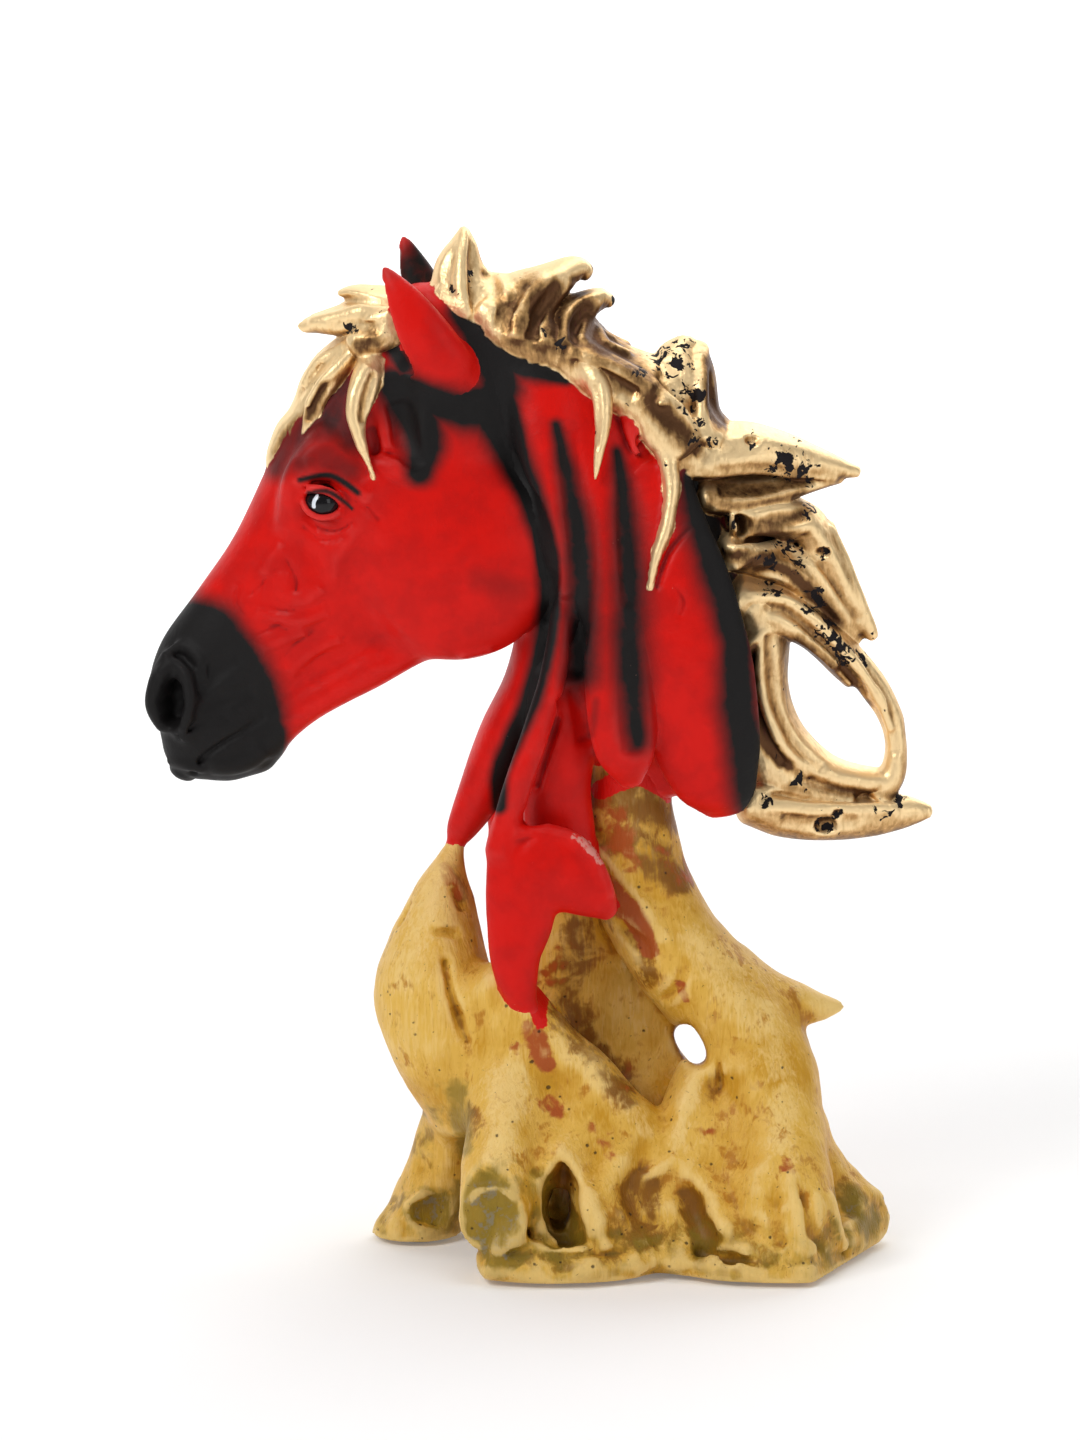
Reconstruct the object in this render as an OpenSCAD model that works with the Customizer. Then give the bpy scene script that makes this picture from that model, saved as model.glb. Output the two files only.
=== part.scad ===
// Cast resin horse bust with a gilded mane, standing on a driftwood base.
// The horse faces -X, the show side is -Y and +Z is up. Sizes are in millimetres.

/* [Base] */
// Height at which the bust sits on the trunk
seat_h = 120; // [112:1:128]
// Height of the front stump's tip
stump_h = 104; // [98:1:110]
// Thickness of the trunk
trunk_d = 25; // [22:0.5:28]
// Thickness of the front stump at its belly
stump_d = 32; // [28:0.5:36]
// Thickness of the log legs
leg_d = 19; // [16:0.5:22]
// Reach of the front foot ahead of the origin
foot_front = 28; // [24:1:32]
// Reach of the sawn rear foot behind the origin
foot_rear = 78; // [74:1:84]
// Reach of the feet towards the show side
foot_near = 40; // [36:1:44]
// Reach of the feet towards the back
foot_far = 36; // [32:1:40]
// Reach of the spur behind the origin
spur_reach = 78; // [72:1:84]
// Width of the hole between trunk and back wall
knot_hole_w = 7; // [5:0.5:9]

/* [Neck] */
// Rise of the poll above the seat
neck_rise = 118; // [110:1:126]
// How far the poll leads the shoulder
neck_lean = 40; // [36:1:44]
// Width of the neck across its middle
neck_w = 44; // [40:1:48]
// Depth of the neck at the shoulder, from chest to crest
neck_depth = 58; // [54:1:62]

/* [Head] */
// Length from poll to lips
head_len = 134; // [128:1:140]
// Lean of the head's axis from the vertical
head_pitch = 28; // [24:1:32]
// Width across the brows
brow_w = 42; // [38:1:46]
// Width across the nostrils
muzzle_w = 25; // [22:0.5:28]
// Diameter of the round jowl
jowl_d = 50; // [46:1:54]
// Diameter of an eye bead
eye_d = 9; // [7:0.5:11]
// Diameter of a nostril
nostril_d = 7; // [5:0.5:8]
// Length of an ear
ear_len = 40; // [34:1:46]
// Width of an ear
ear_w = 20; // [16:0.5:23]
// Thickness of an ear
ear_t = 9; // [7:0.5:11]

/* [Drapery] */
// Thickness of the hanging folds
fold_t = 9; // [7:0.5:11]
// Width of the front ribbon
ribbon_w = 12.5; // [11:0.5:14]
// Width of the leaf shaped flap
flap_w = 32; // [28:1:36]
// Length of the flap below the seat
flap_drop = 59; // [54:1:64]
// Width of the tongue shaped fold
tongue_w = 17; // [14:0.5:19]
// Width of the shoulder fold
shoulder_w = 31; // [27:0.5:34]

/* [Mane] */
// Width of the mane across the crest, at the roots of its locks
mane_w = 34; // [30:0.5:38]
// Depth of a thick lock at its root
lock_d = 19; // [16:0.5:22]
// Width of the thin strands on the neck
strand_d = 6.5; // [5:0.5:8]
// Rise of the poll tuft above the crest
tuft_rise = 19; // [15:1:23]
// Reach of the long lock behind the crest
long_reach = 43; // [38:1:48]
// Reach of the rear lock behind the crest
rear_reach = 47; // [43:1:51]
// Reach of the loop behind the crest
loop_reach = 35; // [32:1:38]
// Reach of the bottom tail behind the crest
tail_reach = 49; // [45:1:54]
// Reach of the forelock ahead of the poll
forelock_reach = 34; // [30:1:38]

/* [Joints] */
// Diameter of the steel armature rod
rod_d = 6; // [4:0.5:8]
// Length of the armature rod
rod_len = 60; // [44:1:70]
// Diameter of the pin between head and neck
pin_d = 5; // [3:0.5:6]
// Length of that pin
pin_len = 40; // [30:1:46]
// Diameter of a felt pad
pad_d = 12; // [9:0.5:14]
// Thickness of a felt pad
pad_t = 1.2; // [0.8:0.1:2]
// Glue line between two castings
glue_gap = 0.1; // [0.05:0.05:0.2]
// Clearance round a rod or pin in its hole
rod_gap = 0.15; // [0.1:0.05:0.3]

/* [Hidden] */

near = -1;
far = 1;
bead_fn = 7;
paint_red = "firebrick";
paint_black = "dimgray";
gilt = "goldenrod";
wood = "burlywood";

// Sweeps: a row is [x, y, z, half width along Y, half depth in the plane]
function unit(v) = v / norm(v);
function place(row) = [row[0], row[1], row[2]];
function row(p, half_w, half_d) = [p[0], p[1], p[2], half_w, half_d];
function flip(rows) = [for (r = rows) [r[0], -r[1], r[2], r[3], r[4]]];
function between(a, b, t) = a + (b - a) * t;

function spline_at(a, b, c, d, t) =
    0.5 * (2 * b + (c - a) * t + (2 * a - 5 * b + 4 * c - d) * t ^ 2 + (3 * b - a - 3 * c + d) * t ^ 3);

function smooth(rows, steps) = [
    for (i = [0 : len(rows) - 2], k = [0 : steps - 1])
        spline_at(rows[max(i - 1, 0)], rows[i], rows[i + 1], rows[min(i + 2, len(rows) - 1)], k / steps),
    rows[len(rows) - 1]
];

function heading(rows, i) =
    unit(place(rows[min(i + 1, len(rows) - 1)]) - place(rows[max(i - 1, 0)]));

// Loft of oval sections along the rows, with optional ridges, an egg shaped section and drawn out tips
module sweep(rows, sides = 9, steps = 2, along = undef, ridges = 0, ridge = 0, egg = 0, tip = 0.5, grow = 0) {
    path = smooth(rows, steps);
    last = len(path) - 1;
    rings = [
        for (i = [0 : last])
            let (t = is_undef(along) ? heading(path, i) : along)
            let (n = unit(cross(t, [0, 1, 0])))
            let (s = cross(n, t))
            let (w = path[i][3] + grow)
            let (d = path[i][4] + grow)
            for (j = [0 : sides - 1])
                let (u = 360 * j / sides)
                let (f = 1 + ridge * cos(ridges * u))
                place(path[i]) + f * (s * w * cos(u) * (1 + egg * sin(u)) + n * d * sin(u))
    ];
    first_tip = place(path[0]) - heading(path, 0) * (tip * min(path[0][3], path[0][4]) + grow);
    last_tip = place(path[last]) + heading(path, last) * (tip * min(path[last][3], path[last][4]) + grow);
    count = len(rings);
    wall = [
        for (i = [0 : last - 1], j = [0 : sides - 1])
            let (k = (j + 1) % sides)
            let (p = i * sides)
            let (q = p + sides)
            each [[p + j, q + j, q + k], [p + j, q + k, p + k]]
    ];
    caps = [
        for (j = [0 : sides - 1])
            let (k = (j + 1) % sides)
            each [[count, j, k], [count + 1, last * sides + k, last * sides + j]]
    ];
    polyhedron(concat(rings, [first_tip, last_tip]), concat(wall, caps), convexity = 8);
}

// Rounded ridge or groove through a few points
module bead_line(points, d) {
    for (i = [0 : len(points) - 2])
        hull() {
            translate(points[i])
                sphere(d = d, $fn = bead_fn);
            translate(points[i + 1])
                sphere(d = d, $fn = bead_fn);
        }
}

// Driftwood base
seat = [25, 0, seat_h];
stump_x = -26;
stump_tip = [-21.5, 0, stump_h];
trunk_foot_x = 57;
trunk_r = trunk_d / 2;
stump_r = stump_d / 2;
leg_r = leg_d / 2;
tenon_h = 8;
below = -3;

trunk_rows = [
    row(seat + [-2, 0, tenon_h], trunk_r - 1.5, trunk_r - 2.5),
    row(seat + [-2, 0, -8], trunk_r - 0.5, trunk_r - 1),
    row([25.5, -1, seat_h * 0.8], trunk_r + 0.5, trunk_r),
    row([32.5, -2, seat_h * 0.68], trunk_r + 1.5, trunk_r + 0.5),
    row([45, -3, seat_h * 0.56], trunk_r + 2.5, trunk_r + 1),
    row([54.5, -4, seat_h * 0.44], trunk_r + 3.5, trunk_r + 1.5),
    row([trunk_foot_x, -5, seat_h * 0.32], trunk_r + 4.5, trunk_r + 2.5),
    row([trunk_foot_x, -6, seat_h * 0.18], trunk_r + 6.5, trunk_r + 4.5),
    row([trunk_foot_x - 1, -7, below], trunk_r + 9.5, trunk_r + 7.5)
];
stump_rows = [
    row(stump_tip, 2.5, 2),
    row([stump_x + 2.4, 0, stump_h - 7], stump_r * 0.44, stump_r * 0.31),
    row([stump_x + 0.8, 0, stump_h - 17], stump_r * 0.76, stump_r * 0.61),
    row([stump_x - 0.5, 0, stump_h - 28], stump_r * 1.05, stump_r * 0.88),
    row([stump_x - 0.5, 0, stump_h - 39], stump_r * 1.15, stump_r),
    row([stump_x + 3, 0, stump_h - 52], stump_r * 1.15, stump_r * 0.9),
    row([stump_x + 9, 0, stump_h - 64], stump_r, stump_r * 0.8)
];
front_leg_rows = [
    row([-20, 5, stump_h * 0.5], leg_r + 3.5, leg_r + 1.5),
    row([8 - foot_front, 8, stump_h * 0.37], leg_r + 1.5, leg_r),
    row([6 - foot_front, 9, stump_h * 0.25], leg_r + 1.5, leg_r),
    row([1 - foot_front, 8, stump_h * 0.12], leg_r + 1.5, leg_r + 0.5),
    row([-5 - foot_front, 6, below], leg_r + 1.5, leg_r + 1.5)
];
near_log_rows = [
    row([-8, -4, stump_h * 0.55], leg_r + 3.5, leg_r + 3.5),
    row([-9.5, -16, stump_h * 0.44], leg_r + 2.5, leg_r + 3),
    row([-10.5, 14 - foot_near, stump_h * 0.34], leg_r + 1, leg_r + 1.5),
    row([-11.5, 6 - foot_near, stump_h * 0.245], leg_r, leg_r),
    row([-12, -3 - foot_near, stump_h * 0.148], leg_r - 0.5, leg_r - 0.7),
    row([-12.5, -12 - foot_near, stump_h * 0.05], leg_r - 1, leg_r - 1.2)
];
// The root that slants down from the stump in front of the back wall
slant_root_rows = [
    row([-16, -8, stump_h * 0.73], leg_r - 3, leg_r - 2.5),
    row([-11, -13, stump_h * 0.67], leg_r - 2, leg_r - 1),
    row([0.5, -17, stump_h * 0.56], leg_r - 1.5, leg_r - 1.5),
    row([12.5, -18, stump_h * 0.47], leg_r - 2.5, leg_r - 3),
    row([23, -18, stump_h * 0.35], leg_r - 1.5, leg_r - 2.5),
    row([33, -15, stump_h * 0.275], leg_r - 1.5, leg_r - 3.5)
];
arch_rows = [
    row([5.5, -18, stump_h * 0.33], leg_r - 0.5, leg_r - 1.5),
    row([5, 14 - foot_near, stump_h * 0.26], leg_r - 0.5, leg_r - 0.5),
    row([4.5, 9 - foot_near, stump_h * 0.175], leg_r - 0.5, leg_r + 4),
    row([4.5, 7 - foot_near, stump_h * 0.08], leg_r + 0.5, leg_r + 7.5),
    row([4.5, 7 - foot_near, below], leg_r + 0.5, leg_r + 9.5)
];
middle_root_rows = [
    row([23.5, -16, stump_h * 0.35], leg_r - 1.5, leg_r - 2),
    row([19, 18 - foot_near, stump_h * 0.25], leg_r - 0.5, leg_r - 4),
    row([16, 13 - foot_near, stump_h * 0.18], leg_r - 0.5, leg_r - 3.5),
    row([18, 10 - foot_near, stump_h * 0.08], leg_r - 0.5, leg_r - 1.5),
    row([18.5, 10 - foot_near, below], leg_r - 0.5, leg_r + 0.5)
];
bowl_rim_rows = [
    row([44, -3, seat_h * 0.43], leg_r - 1.5, leg_r - 5.5),
    row([42, -6, seat_h * 0.4], leg_r + 1.5, leg_r - 4.5),
    row([38, -11, seat_h * 0.34], leg_r + 1.5, leg_r - 4.5),
    row([35, -14, seat_h * 0.275], leg_r + 1.5, leg_r - 4.5),
    row([31, -16, seat_h * 0.23], leg_r + 0.5, leg_r - 3.5)
];
low_ridge_rows = [
    row([31, -17, seat_h * 0.225], leg_r - 1.5, leg_r - 4.5),
    row([38, 20 - foot_near, seat_h * 0.21], leg_r - 1.5, leg_r - 5),
    row([42, 15 - foot_near, seat_h * 0.16], leg_r - 1.5, leg_r - 5),
    row([47, 10 - foot_near, seat_h * 0.1], leg_r - 1.5, leg_r - 3.5),
    row([52.5, 7 - foot_near, seat_h * 0.05], leg_r - 0.5, leg_r - 1.5)
];
near_foot_rows = [
    row([trunk_foot_x - 5, -6, seat_h * 0.47], leg_r + 1, leg_r + 1),
    row([trunk_foot_x - 2.5, -10, seat_h * 0.37], leg_r + 3.5, leg_r + 5.5),
    row([trunk_foot_x + 1, -17, seat_h * 0.26], leg_r + 3.5, leg_r + 5),
    row([trunk_foot_x + 4.5, 15 - foot_near, seat_h * 0.17], leg_r + 3.5, leg_r + 4.5),
    row([trunk_foot_x + 6.5, 9 - foot_near, seat_h * 0.085], leg_r + 2.5, leg_r + 4.5),
    row([trunk_foot_x + 7, 8 - foot_near, below], leg_r + 3.5, leg_r + 5.5)
];
rear_foot_rows = [
    row([foot_rear - 17, -2, seat_h * 0.34], leg_r + 0.5, leg_r - 0.5),
    row([foot_rear - 11, -2, seat_h * 0.255], leg_r + 3.5, leg_r + 1.5),
    row([foot_rear - 5, -2, seat_h * 0.165], leg_r + 2.5, leg_r + 1),
    row([foot_rear + 1, -4, seat_h * 0.1], leg_r + 1.5, leg_r + 0.5),
    row([foot_rear + 8, -6, seat_h * 0.045], leg_r + 0.5, leg_r),
    row([foot_rear + 16, -8, 0], leg_r, leg_r - 0.5)
];
back_wall_rows = [
    row([6, 8, seat_h * 0.76], 4, 7),
    row([12, 10, seat_h * 0.62], 6, 14),
    row([15, 10, seat_h * 0.47], 8, 18),
    row([17, 9, seat_h * 0.32], 10, 20),
    row([20, 7, seat_h * 0.16], 14, 26),
    row([22, 4, below], 22, 38)
];
hole_wall_rows = [
    row([15.5, 9, seat_h * 0.73], 5, 7),
    row([23, 10, seat_h * 0.605], 6, 11),
    row([30, 10, seat_h * 0.485], 7, 13),
    row([34.5, 8, seat_h * 0.355], 9, 15),
    row([32, 2, seat_h * 0.235], 12, 18)
];
// Recessed walls behind the openings between the roots
bowl_wall_rows = [
    row([46, -4, seat_h * 0.42], 11, 11),
    row([46, -12, seat_h * 0.29], 12, 16),
    row([43.5, 22 - foot_near, seat_h * 0.17], 13.5, 18),
    row([41, 18 - foot_near, below], 14, 20)
];
fork_wall_rows = [
    row([27, -9, seat_h * 0.26], 11, 11),
    row([26, 23 - foot_near, seat_h * 0.15], 14, 15),
    row([26, 19 - foot_near, below], 15, 17)
];
log_wall_rows = [
    row([-5, -11, stump_h * 0.47], 13, 14),
    row([-2, 20 - foot_near, stump_h * 0.32], 13, 14),
    row([-1, 13 - foot_near, stump_h * 0.15], 11, 11),
    row([-1, 13 - foot_near, below], 11, 12)
];
arch_wall_rows = [
    row([8, -11, stump_h * 0.47], 12, 13),
    row([12.5, -17, stump_h * 0.34], 13, 14),
    row([11, 21 - foot_near, stump_h * 0.2], 12, 15),
    row([8, 19 - foot_near, below], 11, 16)
];
far_front_rows = [
    row([-4, 9, stump_h * 0.5], leg_r + 1.5, leg_r + 2.5),
    row([-6, foot_far - 13, stump_h * 0.27], leg_r + 0.5, leg_r + 0.5),
    row([-7, foot_far - 7, stump_h * 0.09], leg_r + 1.5, leg_r + 2.5),
    row([-7, foot_far - 5, below], leg_r + 2.5, leg_r + 5.5)
];
far_rear_rows = [
    row([50, 8, seat_h * 0.36], leg_r + 3.5, leg_r + 2.5),
    row([53, foot_far - 14, seat_h * 0.19], leg_r + 1.5, leg_r + 2.5),
    row([54, foot_far - 7, seat_h * 0.06], leg_r + 1.5, leg_r + 4.5),
    row([54, foot_far - 5, below], leg_r + 2.5, leg_r + 7.5)
];
spur_rows = [
    row([50, 1, seat_h * 0.6], 9, 9),
    row([61, 1, seat_h * 0.567], 7, 6.4),
    row([spur_reach - 8, 1, seat_h * 0.5375], 4.2, 3.6),
    row([spur_reach - 0.5, 1, seat_h * 0.525], 1, 1)
];
rim_rows = [
    row([-12, 4 - foot_near, 4.5], 8, 5),
    row([1.5, 4 - foot_near, 3], 10, 6),
    row([17.5, 7 - foot_near, 4], 11, 6),
    row([28, 13 - foot_near, 5], 10, 6),
    row([41, 10 - foot_near, 5], 11, 6),
    row([52, 7 - foot_near, 4], 12, 7),
    row([70, 10 - foot_near, 3], 12, 8),
    row([foot_rear + 1.5, 24 - foot_near, 4], 11, 7)
];

// Rounded wood grain that stands out on the stump and along the trunk
stump_ridge_rows = [
    row([stump_x - 5, -14, stump_h * 0.54], leg_r * 0.3, leg_r * 0.3),
    row([stump_x, -15.5, stump_h * 0.67], leg_r * 0.32, leg_r * 0.32),
    row([stump_x + 4, -9, stump_h * 0.85], leg_r * 0.26, leg_r * 0.26)
];
trunk_ridge_rows = [
    row([21, -9, seat_h * 0.85], leg_r * 0.37, leg_r * 0.37),
    row([30, -12, seat_h * 0.69], leg_r * 0.37, leg_r * 0.37),
    row([43, -15, seat_h * 0.55], leg_r * 0.37, leg_r * 0.37),
    row([49, -15, seat_h * 0.45], leg_r * 0.37, leg_r * 0.37),
    row([52, -13, seat_h * 0.37], leg_r * 0.2, leg_r * 0.2)
];

module driftwood_form(grow = 0) {
    sweep(trunk_rows, sides = 10, grow = grow);
    sweep(stump_rows, sides = 10, grow = grow);
    for (rows = [front_leg_rows, near_log_rows, near_foot_rows, rear_foot_rows, back_wall_rows])
        sweep(rows, sides = 9, grow = grow);
    for (rows = [slant_root_rows, arch_rows, middle_root_rows, low_ridge_rows, bowl_rim_rows])
        sweep(rows, sides = 8, grow = grow);
    for (rows = [hole_wall_rows, bowl_wall_rows, fork_wall_rows, log_wall_rows, arch_wall_rows])
        sweep(rows, sides = 8, steps = 1, grow = grow);
    for (rows = [far_front_rows, far_rear_rows, spur_rows, rim_rows])
        sweep(rows, sides = 8, steps = 1, grow = grow);
    for (rows = [stump_ridge_rows, trunk_ridge_rows])
        sweep(rows, sides = 6, grow = grow);
}

arch_hollow_rows = [
    row([7, 6 - foot_near, stump_h * 0.29], 9, 1.2),
    row([6, 4 - foot_near, stump_h * 0.23], 10, 4.2),
    row([5, 2 - foot_near, stump_h * 0.165], 11, 7),
    row([4.5, -foot_near, stump_h * 0.105], 11, 8.4)
];
drain_rows = [
    row([5.5, 20 - foot_near, stump_h * 0.195], 14, 2.4),
    row([5, 20 - foot_near, stump_h * 0.115], 14, 3)
];
bowl_hollow_rows = [
    row([45.5, 20 - foot_near, seat_h * 0.38], 5, 5),
    row([45, 15 - foot_near, seat_h * 0.31], 5.5, 8),
    row([46.5, 11 - foot_near, seat_h * 0.245], 5, 8)
];
ridge_hollow_rows = [
    row([36, 11 - foot_near, seat_h * 0.18], 5, 3),
    row([39, 6 - foot_near, seat_h * 0.125], 6, 4.4),
    row([41.5, 3 - foot_near, seat_h * 0.085], 6, 4.4)
];
crack_rows = [
    row([stump_x + 5, -18, stump_h * 0.73], 1.2, 1.2),
    row([stump_x + 7, -19, stump_h * 0.63], 1.2, 1.2),
    row([stump_x + 9, -19, stump_h * 0.54], 1.2, 1.2)
];

// Saw kerf that takes off all that lies beyond a flat end
module saw_cut(at, turn, tilt) {
    kerf = 44;
    translate(at)
        rotate([0, 0, turn])
            rotate([0, tilt, 0])
                translate([0, -kerf / 2, -kerf / 2])
                    cube(kerf);
}

module driftwood_hollows() {
    sight_slope = -0.176;
    for (rows = [arch_hollow_rows, bowl_hollow_rows, ridge_hollow_rows, drain_rows, crack_rows])
        sweep(rows, sides = 7, steps = 1);
    hull()
        for (end = [-40, 40], tilt = [-1, 1])
            translate([38.7 - 1.5 * tilt, end, seat_h * 0.447 + 2.9 * tilt + sight_slope * end])
                rotate([90, 0, 0])
                    cylinder(d = knot_hole_w * 0.8, h = 1, center = true, $fn = bead_fn);
    saw_cut([-12, -3 - foot_near, stump_h * 0.148], -106, -7);
    saw_cut([foot_rear + 8, -6, seat_h * 0.06], -25, -6);
}

module driftwood_base() {
    floor_size = 400;
    color(wood)
        difference() {
            driftwood_form();
            driftwood_hollows();
            translate([-floor_size / 2, -floor_size / 2, pad_t - floor_size])
                cube(floor_size);
            rod_form(rod_gap);
        }
}

pad_places = [
    [0, 0],
    [-foot_front - 3, 7],
    [trunk_foot_x + 6, 10 - foot_near],
    [-7, foot_far - 7],
    [54, foot_far - 7],
    [15, 12 - foot_near]
];

module felt_pads() {
    color("black")
        for (at = pad_places)
            translate([at[0], at[1], 0])
                cylinder(d = pad_d, h = pad_t, $fn = 48);
}

module rod_form(grow = 0) {
    translate([seat[0], 0, seat_h - rod_len / 2 - grow])
        cylinder(d = rod_d + 2 * grow, h = rod_len + 2 * grow, $fn = 18);
}

module armature_rod() {
    color("silver")
        rod_form();
}

// Neck
function neck_row(lean, rise, w, d) =
    row(seat + [1 - neck_lean * lean, 0, neck_rise * rise], neck_w / 2 * w, neck_depth / 2 * d);

neck_rows = [
    neck_row(1, 1, 0.55, 0.45),
    neck_row(0.6, 0.864, 0.73, 0.69),
    neck_row(0.25, 0.66, 0.86, 0.9),
    neck_row(0.05, 0.424, 0.95, 1),
    neck_row(0, 0.212, 1, 1),
    neck_row(0, 0.068, 0.91, 0.9),
    neck_row(0.02, -0.017, 0.68, 0.62)
];

function crest(i) =
    let (t = heading(neck_rows, i))
    place(neck_rows[i]) + [-t[2], 0, t[0]] * neck_rows[i][4];

// Point on the side of the neck at row i, a share of the way from chest to crest
function flank(side, i, share) =
    let (t = heading(neck_rows, i))
    let (u = share * 90)
    place(neck_rows[i])
        + [-t[2], 0, t[0]] * neck_rows[i][4] * sin(u)
        + [0, side * neck_rows[i][3] * cos(u), 0];

// Web of cloth that hangs from the throat, behind the flap
web_rows = [
    row(seat + [-18, -neck_w * 0.2, 29.5], 8, 9),
    row(seat + [-19, -neck_w * 0.23, 15.5], 8, 9),
    row(seat + [-20, -neck_w * 0.24, 2.5], 7.5, 8.5),
    row(seat + [-19.5, -neck_w * 0.23, -10.5], 6, 9),
    row(seat + [-16.5, -neck_w * 0.18, -22.5], 5, 8)
];

module neck_form(grow = 0) {
    sweep(neck_rows, sides = 16, grow = grow);
    for (rows = [web_rows, flip(web_rows)])
        sweep(rows, sides = 9, grow = grow);
    for (side = [near, far])
        bead_line([for (i = [1 : 3]) flank(side, i, -0.3) - [0, side * 1.6, 0]], 7 + 2 * grow);
}

module neck() {
    color(paint_red)
        difference() {
            neck_form();
            driftwood_form(glue_gap);
            head_form(glue_gap);
            rod_form(rod_gap);
            pin_form(rod_gap);
        }
}

// Head
poll = place(neck_rows[0]) + [-14, 0, 5];
head_axis = [-sin(head_pitch), 0, -cos(head_pitch)];
nose_side = [-cos(head_pitch), 0, sin(head_pitch)];
function on_head(along, up, side) = poll + head_axis * along + nose_side * up + [0, side, 0];

function head_row(share, top, bottom, half_w) =
    row(on_head(head_len * share, (top + bottom) / 2, 0), half_w, (top - bottom) / 2);

half_brow = brow_w / 2;
half_muzzle = muzzle_w / 2;
head_rows = [
    head_row(0, 8, -32, half_brow * 0.6),
    head_row(0.12, 15, -42, half_brow * 0.8),
    head_row(0.27, 18, -46.5, half_brow * 0.92),
    head_row(0.42, 16.8, -47, half_brow * 0.94),
    head_row(0.56, 15, -41.5, half_brow * 0.78),
    head_row(0.68, 16.5, -31, between(half_brow, half_muzzle, 0.87)),
    head_row(0.8, 19.5, -22, half_muzzle * 0.93),
    head_row(0.9, 17.5, -18, half_muzzle * 0.96),
    head_row(0.96, 9.5, -13.5, half_muzzle * 0.83),
    head_row(1, 2, -7, half_muzzle * 0.48)
];
eye_at = [head_len * 0.4015, 1.2];
eye_side = half_brow * 0.9;
eye_rim_side = eye_side + eye_d * 0.42;
nostril_at = [head_len * 0.893, 11];
jowl_at = [head_len * 0.39, -36];

// Bones and lips that stand out on one side of the face: share of the length, rise and side, then half sizes
function jaw_rows(side) = [
    row(on_head(head_len * 0.54, -38, side * half_brow * 0.43), 5, 6),
    row(on_head(head_len * 0.66, -29, side * half_brow * 0.38), 4.5, 5),
    row(on_head(head_len * 0.77, -20, side * half_muzzle * 0.56), 4, 4.5),
    row(on_head(head_len * 0.865, -15, side * half_muzzle * 0.4), 4, 4.5)
];
function brow_rows(side) = [
    row(on_head(eye_at[0] - 14, eye_at[1] + 6, side * half_brow * 0.69), 3, 4),
    row(on_head(eye_at[0] - 8, eye_at[1] + 8, side * half_brow * 0.75), 3.8, 4),
    row(on_head(eye_at[0], eye_at[1] + 8, side * half_brow * 0.74), 3.6, 3.6),
    row(on_head(eye_at[0] + 9, eye_at[1] + 4.5, side * half_brow * 0.66), 2, 2.6)
];
function cheek_rows(side) = [
    row(on_head(eye_at[0] - 10, eye_at[1] - 8.5, side * half_brow * 0.81), 2.5, 3),
    row(on_head(eye_at[0] + 2, eye_at[1] - 10.5, side * half_brow * 0.81), 2.8, 3),
    row(on_head(eye_at[0] + 16, eye_at[1] - 9, side * half_brow * 0.71), 2.4, 3),
    row(on_head(eye_at[0] + 30, eye_at[1] - 7, side * half_muzzle), 2, 3)
];
function nostril_rows(side) = [
    row(on_head(nostril_at[0] - 12, nostril_at[1] + 2, side * half_muzzle * 0.6), 2.4, 2.4),
    row(on_head(nostril_at[0] - 5, nostril_at[1] + 6, side * half_muzzle * 0.72), 3.2, 2.6),
    row(on_head(nostril_at[0] + 2, nostril_at[1] + 5, side * half_muzzle * 0.78), 3.2, 2.6),
    row(on_head(nostril_at[0] + 7, nostril_at[1] - 1, side * half_muzzle * 0.7), 3, 2.4),
    row(on_head(nostril_at[0] + 6, nostril_at[1] - 7, side * half_muzzle * 0.6), 2, 2)
];
chin_rows = [
    row(on_head(head_len * 0.835, -12, 0), half_muzzle * 0.56, 6),
    row(on_head(head_len * 0.905, -11.5, 0), half_muzzle * 0.58, 6.2),
    row(on_head(head_len * 0.955, -8.5, 0), half_muzzle * 0.53, 3)
];
upper_lip_rows = [
    row(on_head(head_len * 0.925, 2, 0), half_muzzle * 0.72, 6),
    row(on_head(head_len * 0.98, 0, 0), half_muzzle * 0.56, 5)
];
function mouth_rows(side) = [
    row(on_head(head_len, 5, side * half_muzzle * 0.3), 1.2, 0.8),
    row(on_head(head_len * 0.945, 1, side * half_muzzle * 0.85), 1.2, 0.8),
    row(on_head(head_len * 0.9, -3, side * half_muzzle * 0.97), 1.2, 0.8),
    row(on_head(head_len * 0.856, -6.5, side * half_muzzle * 0.98), 1.2, 0.8),
    row(on_head(head_len * 0.813, -9.6, side * half_muzzle * 0.95), 1, 0.6)
];
// Channel between the two jaw bones
jaw_gap_rows = [
    row(on_head(head_len * 0.49, -48, 0), 4, 5),
    row(on_head(head_len * 0.66, -36, 0), 3.6, 4),
    row(on_head(head_len * 0.775, -26, 0), 3, 3)
];

module eye_form(side, grow = 0) {
    translate(on_head(eye_at[0], eye_at[1], side * (eye_side - eye_d * 0.2)))
        sphere(d = eye_d + 2 * grow, $fn = 24);
}

module head_form(grow = 0) {
    sweep(head_rows, sides = 14, along = head_axis, egg = -0.16, grow = grow);
    for (side = [near, far]) {
        hull()
            translate(on_head(jowl_at[0], jowl_at[1], side * half_brow * 0.595))
                scale([1, 0.373, 1])
                    sphere(d = jowl_d + 2 * grow, $fn = 12);
        for (rows = [jaw_rows(side), brow_rows(side), cheek_rows(side), nostril_rows(side)])
            sweep(rows, sides = 7, grow = grow);
    }
    for (rows = [chin_rows, upper_lip_rows])
        sweep(rows, sides = 8, steps = 1, grow = grow);
}

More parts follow.
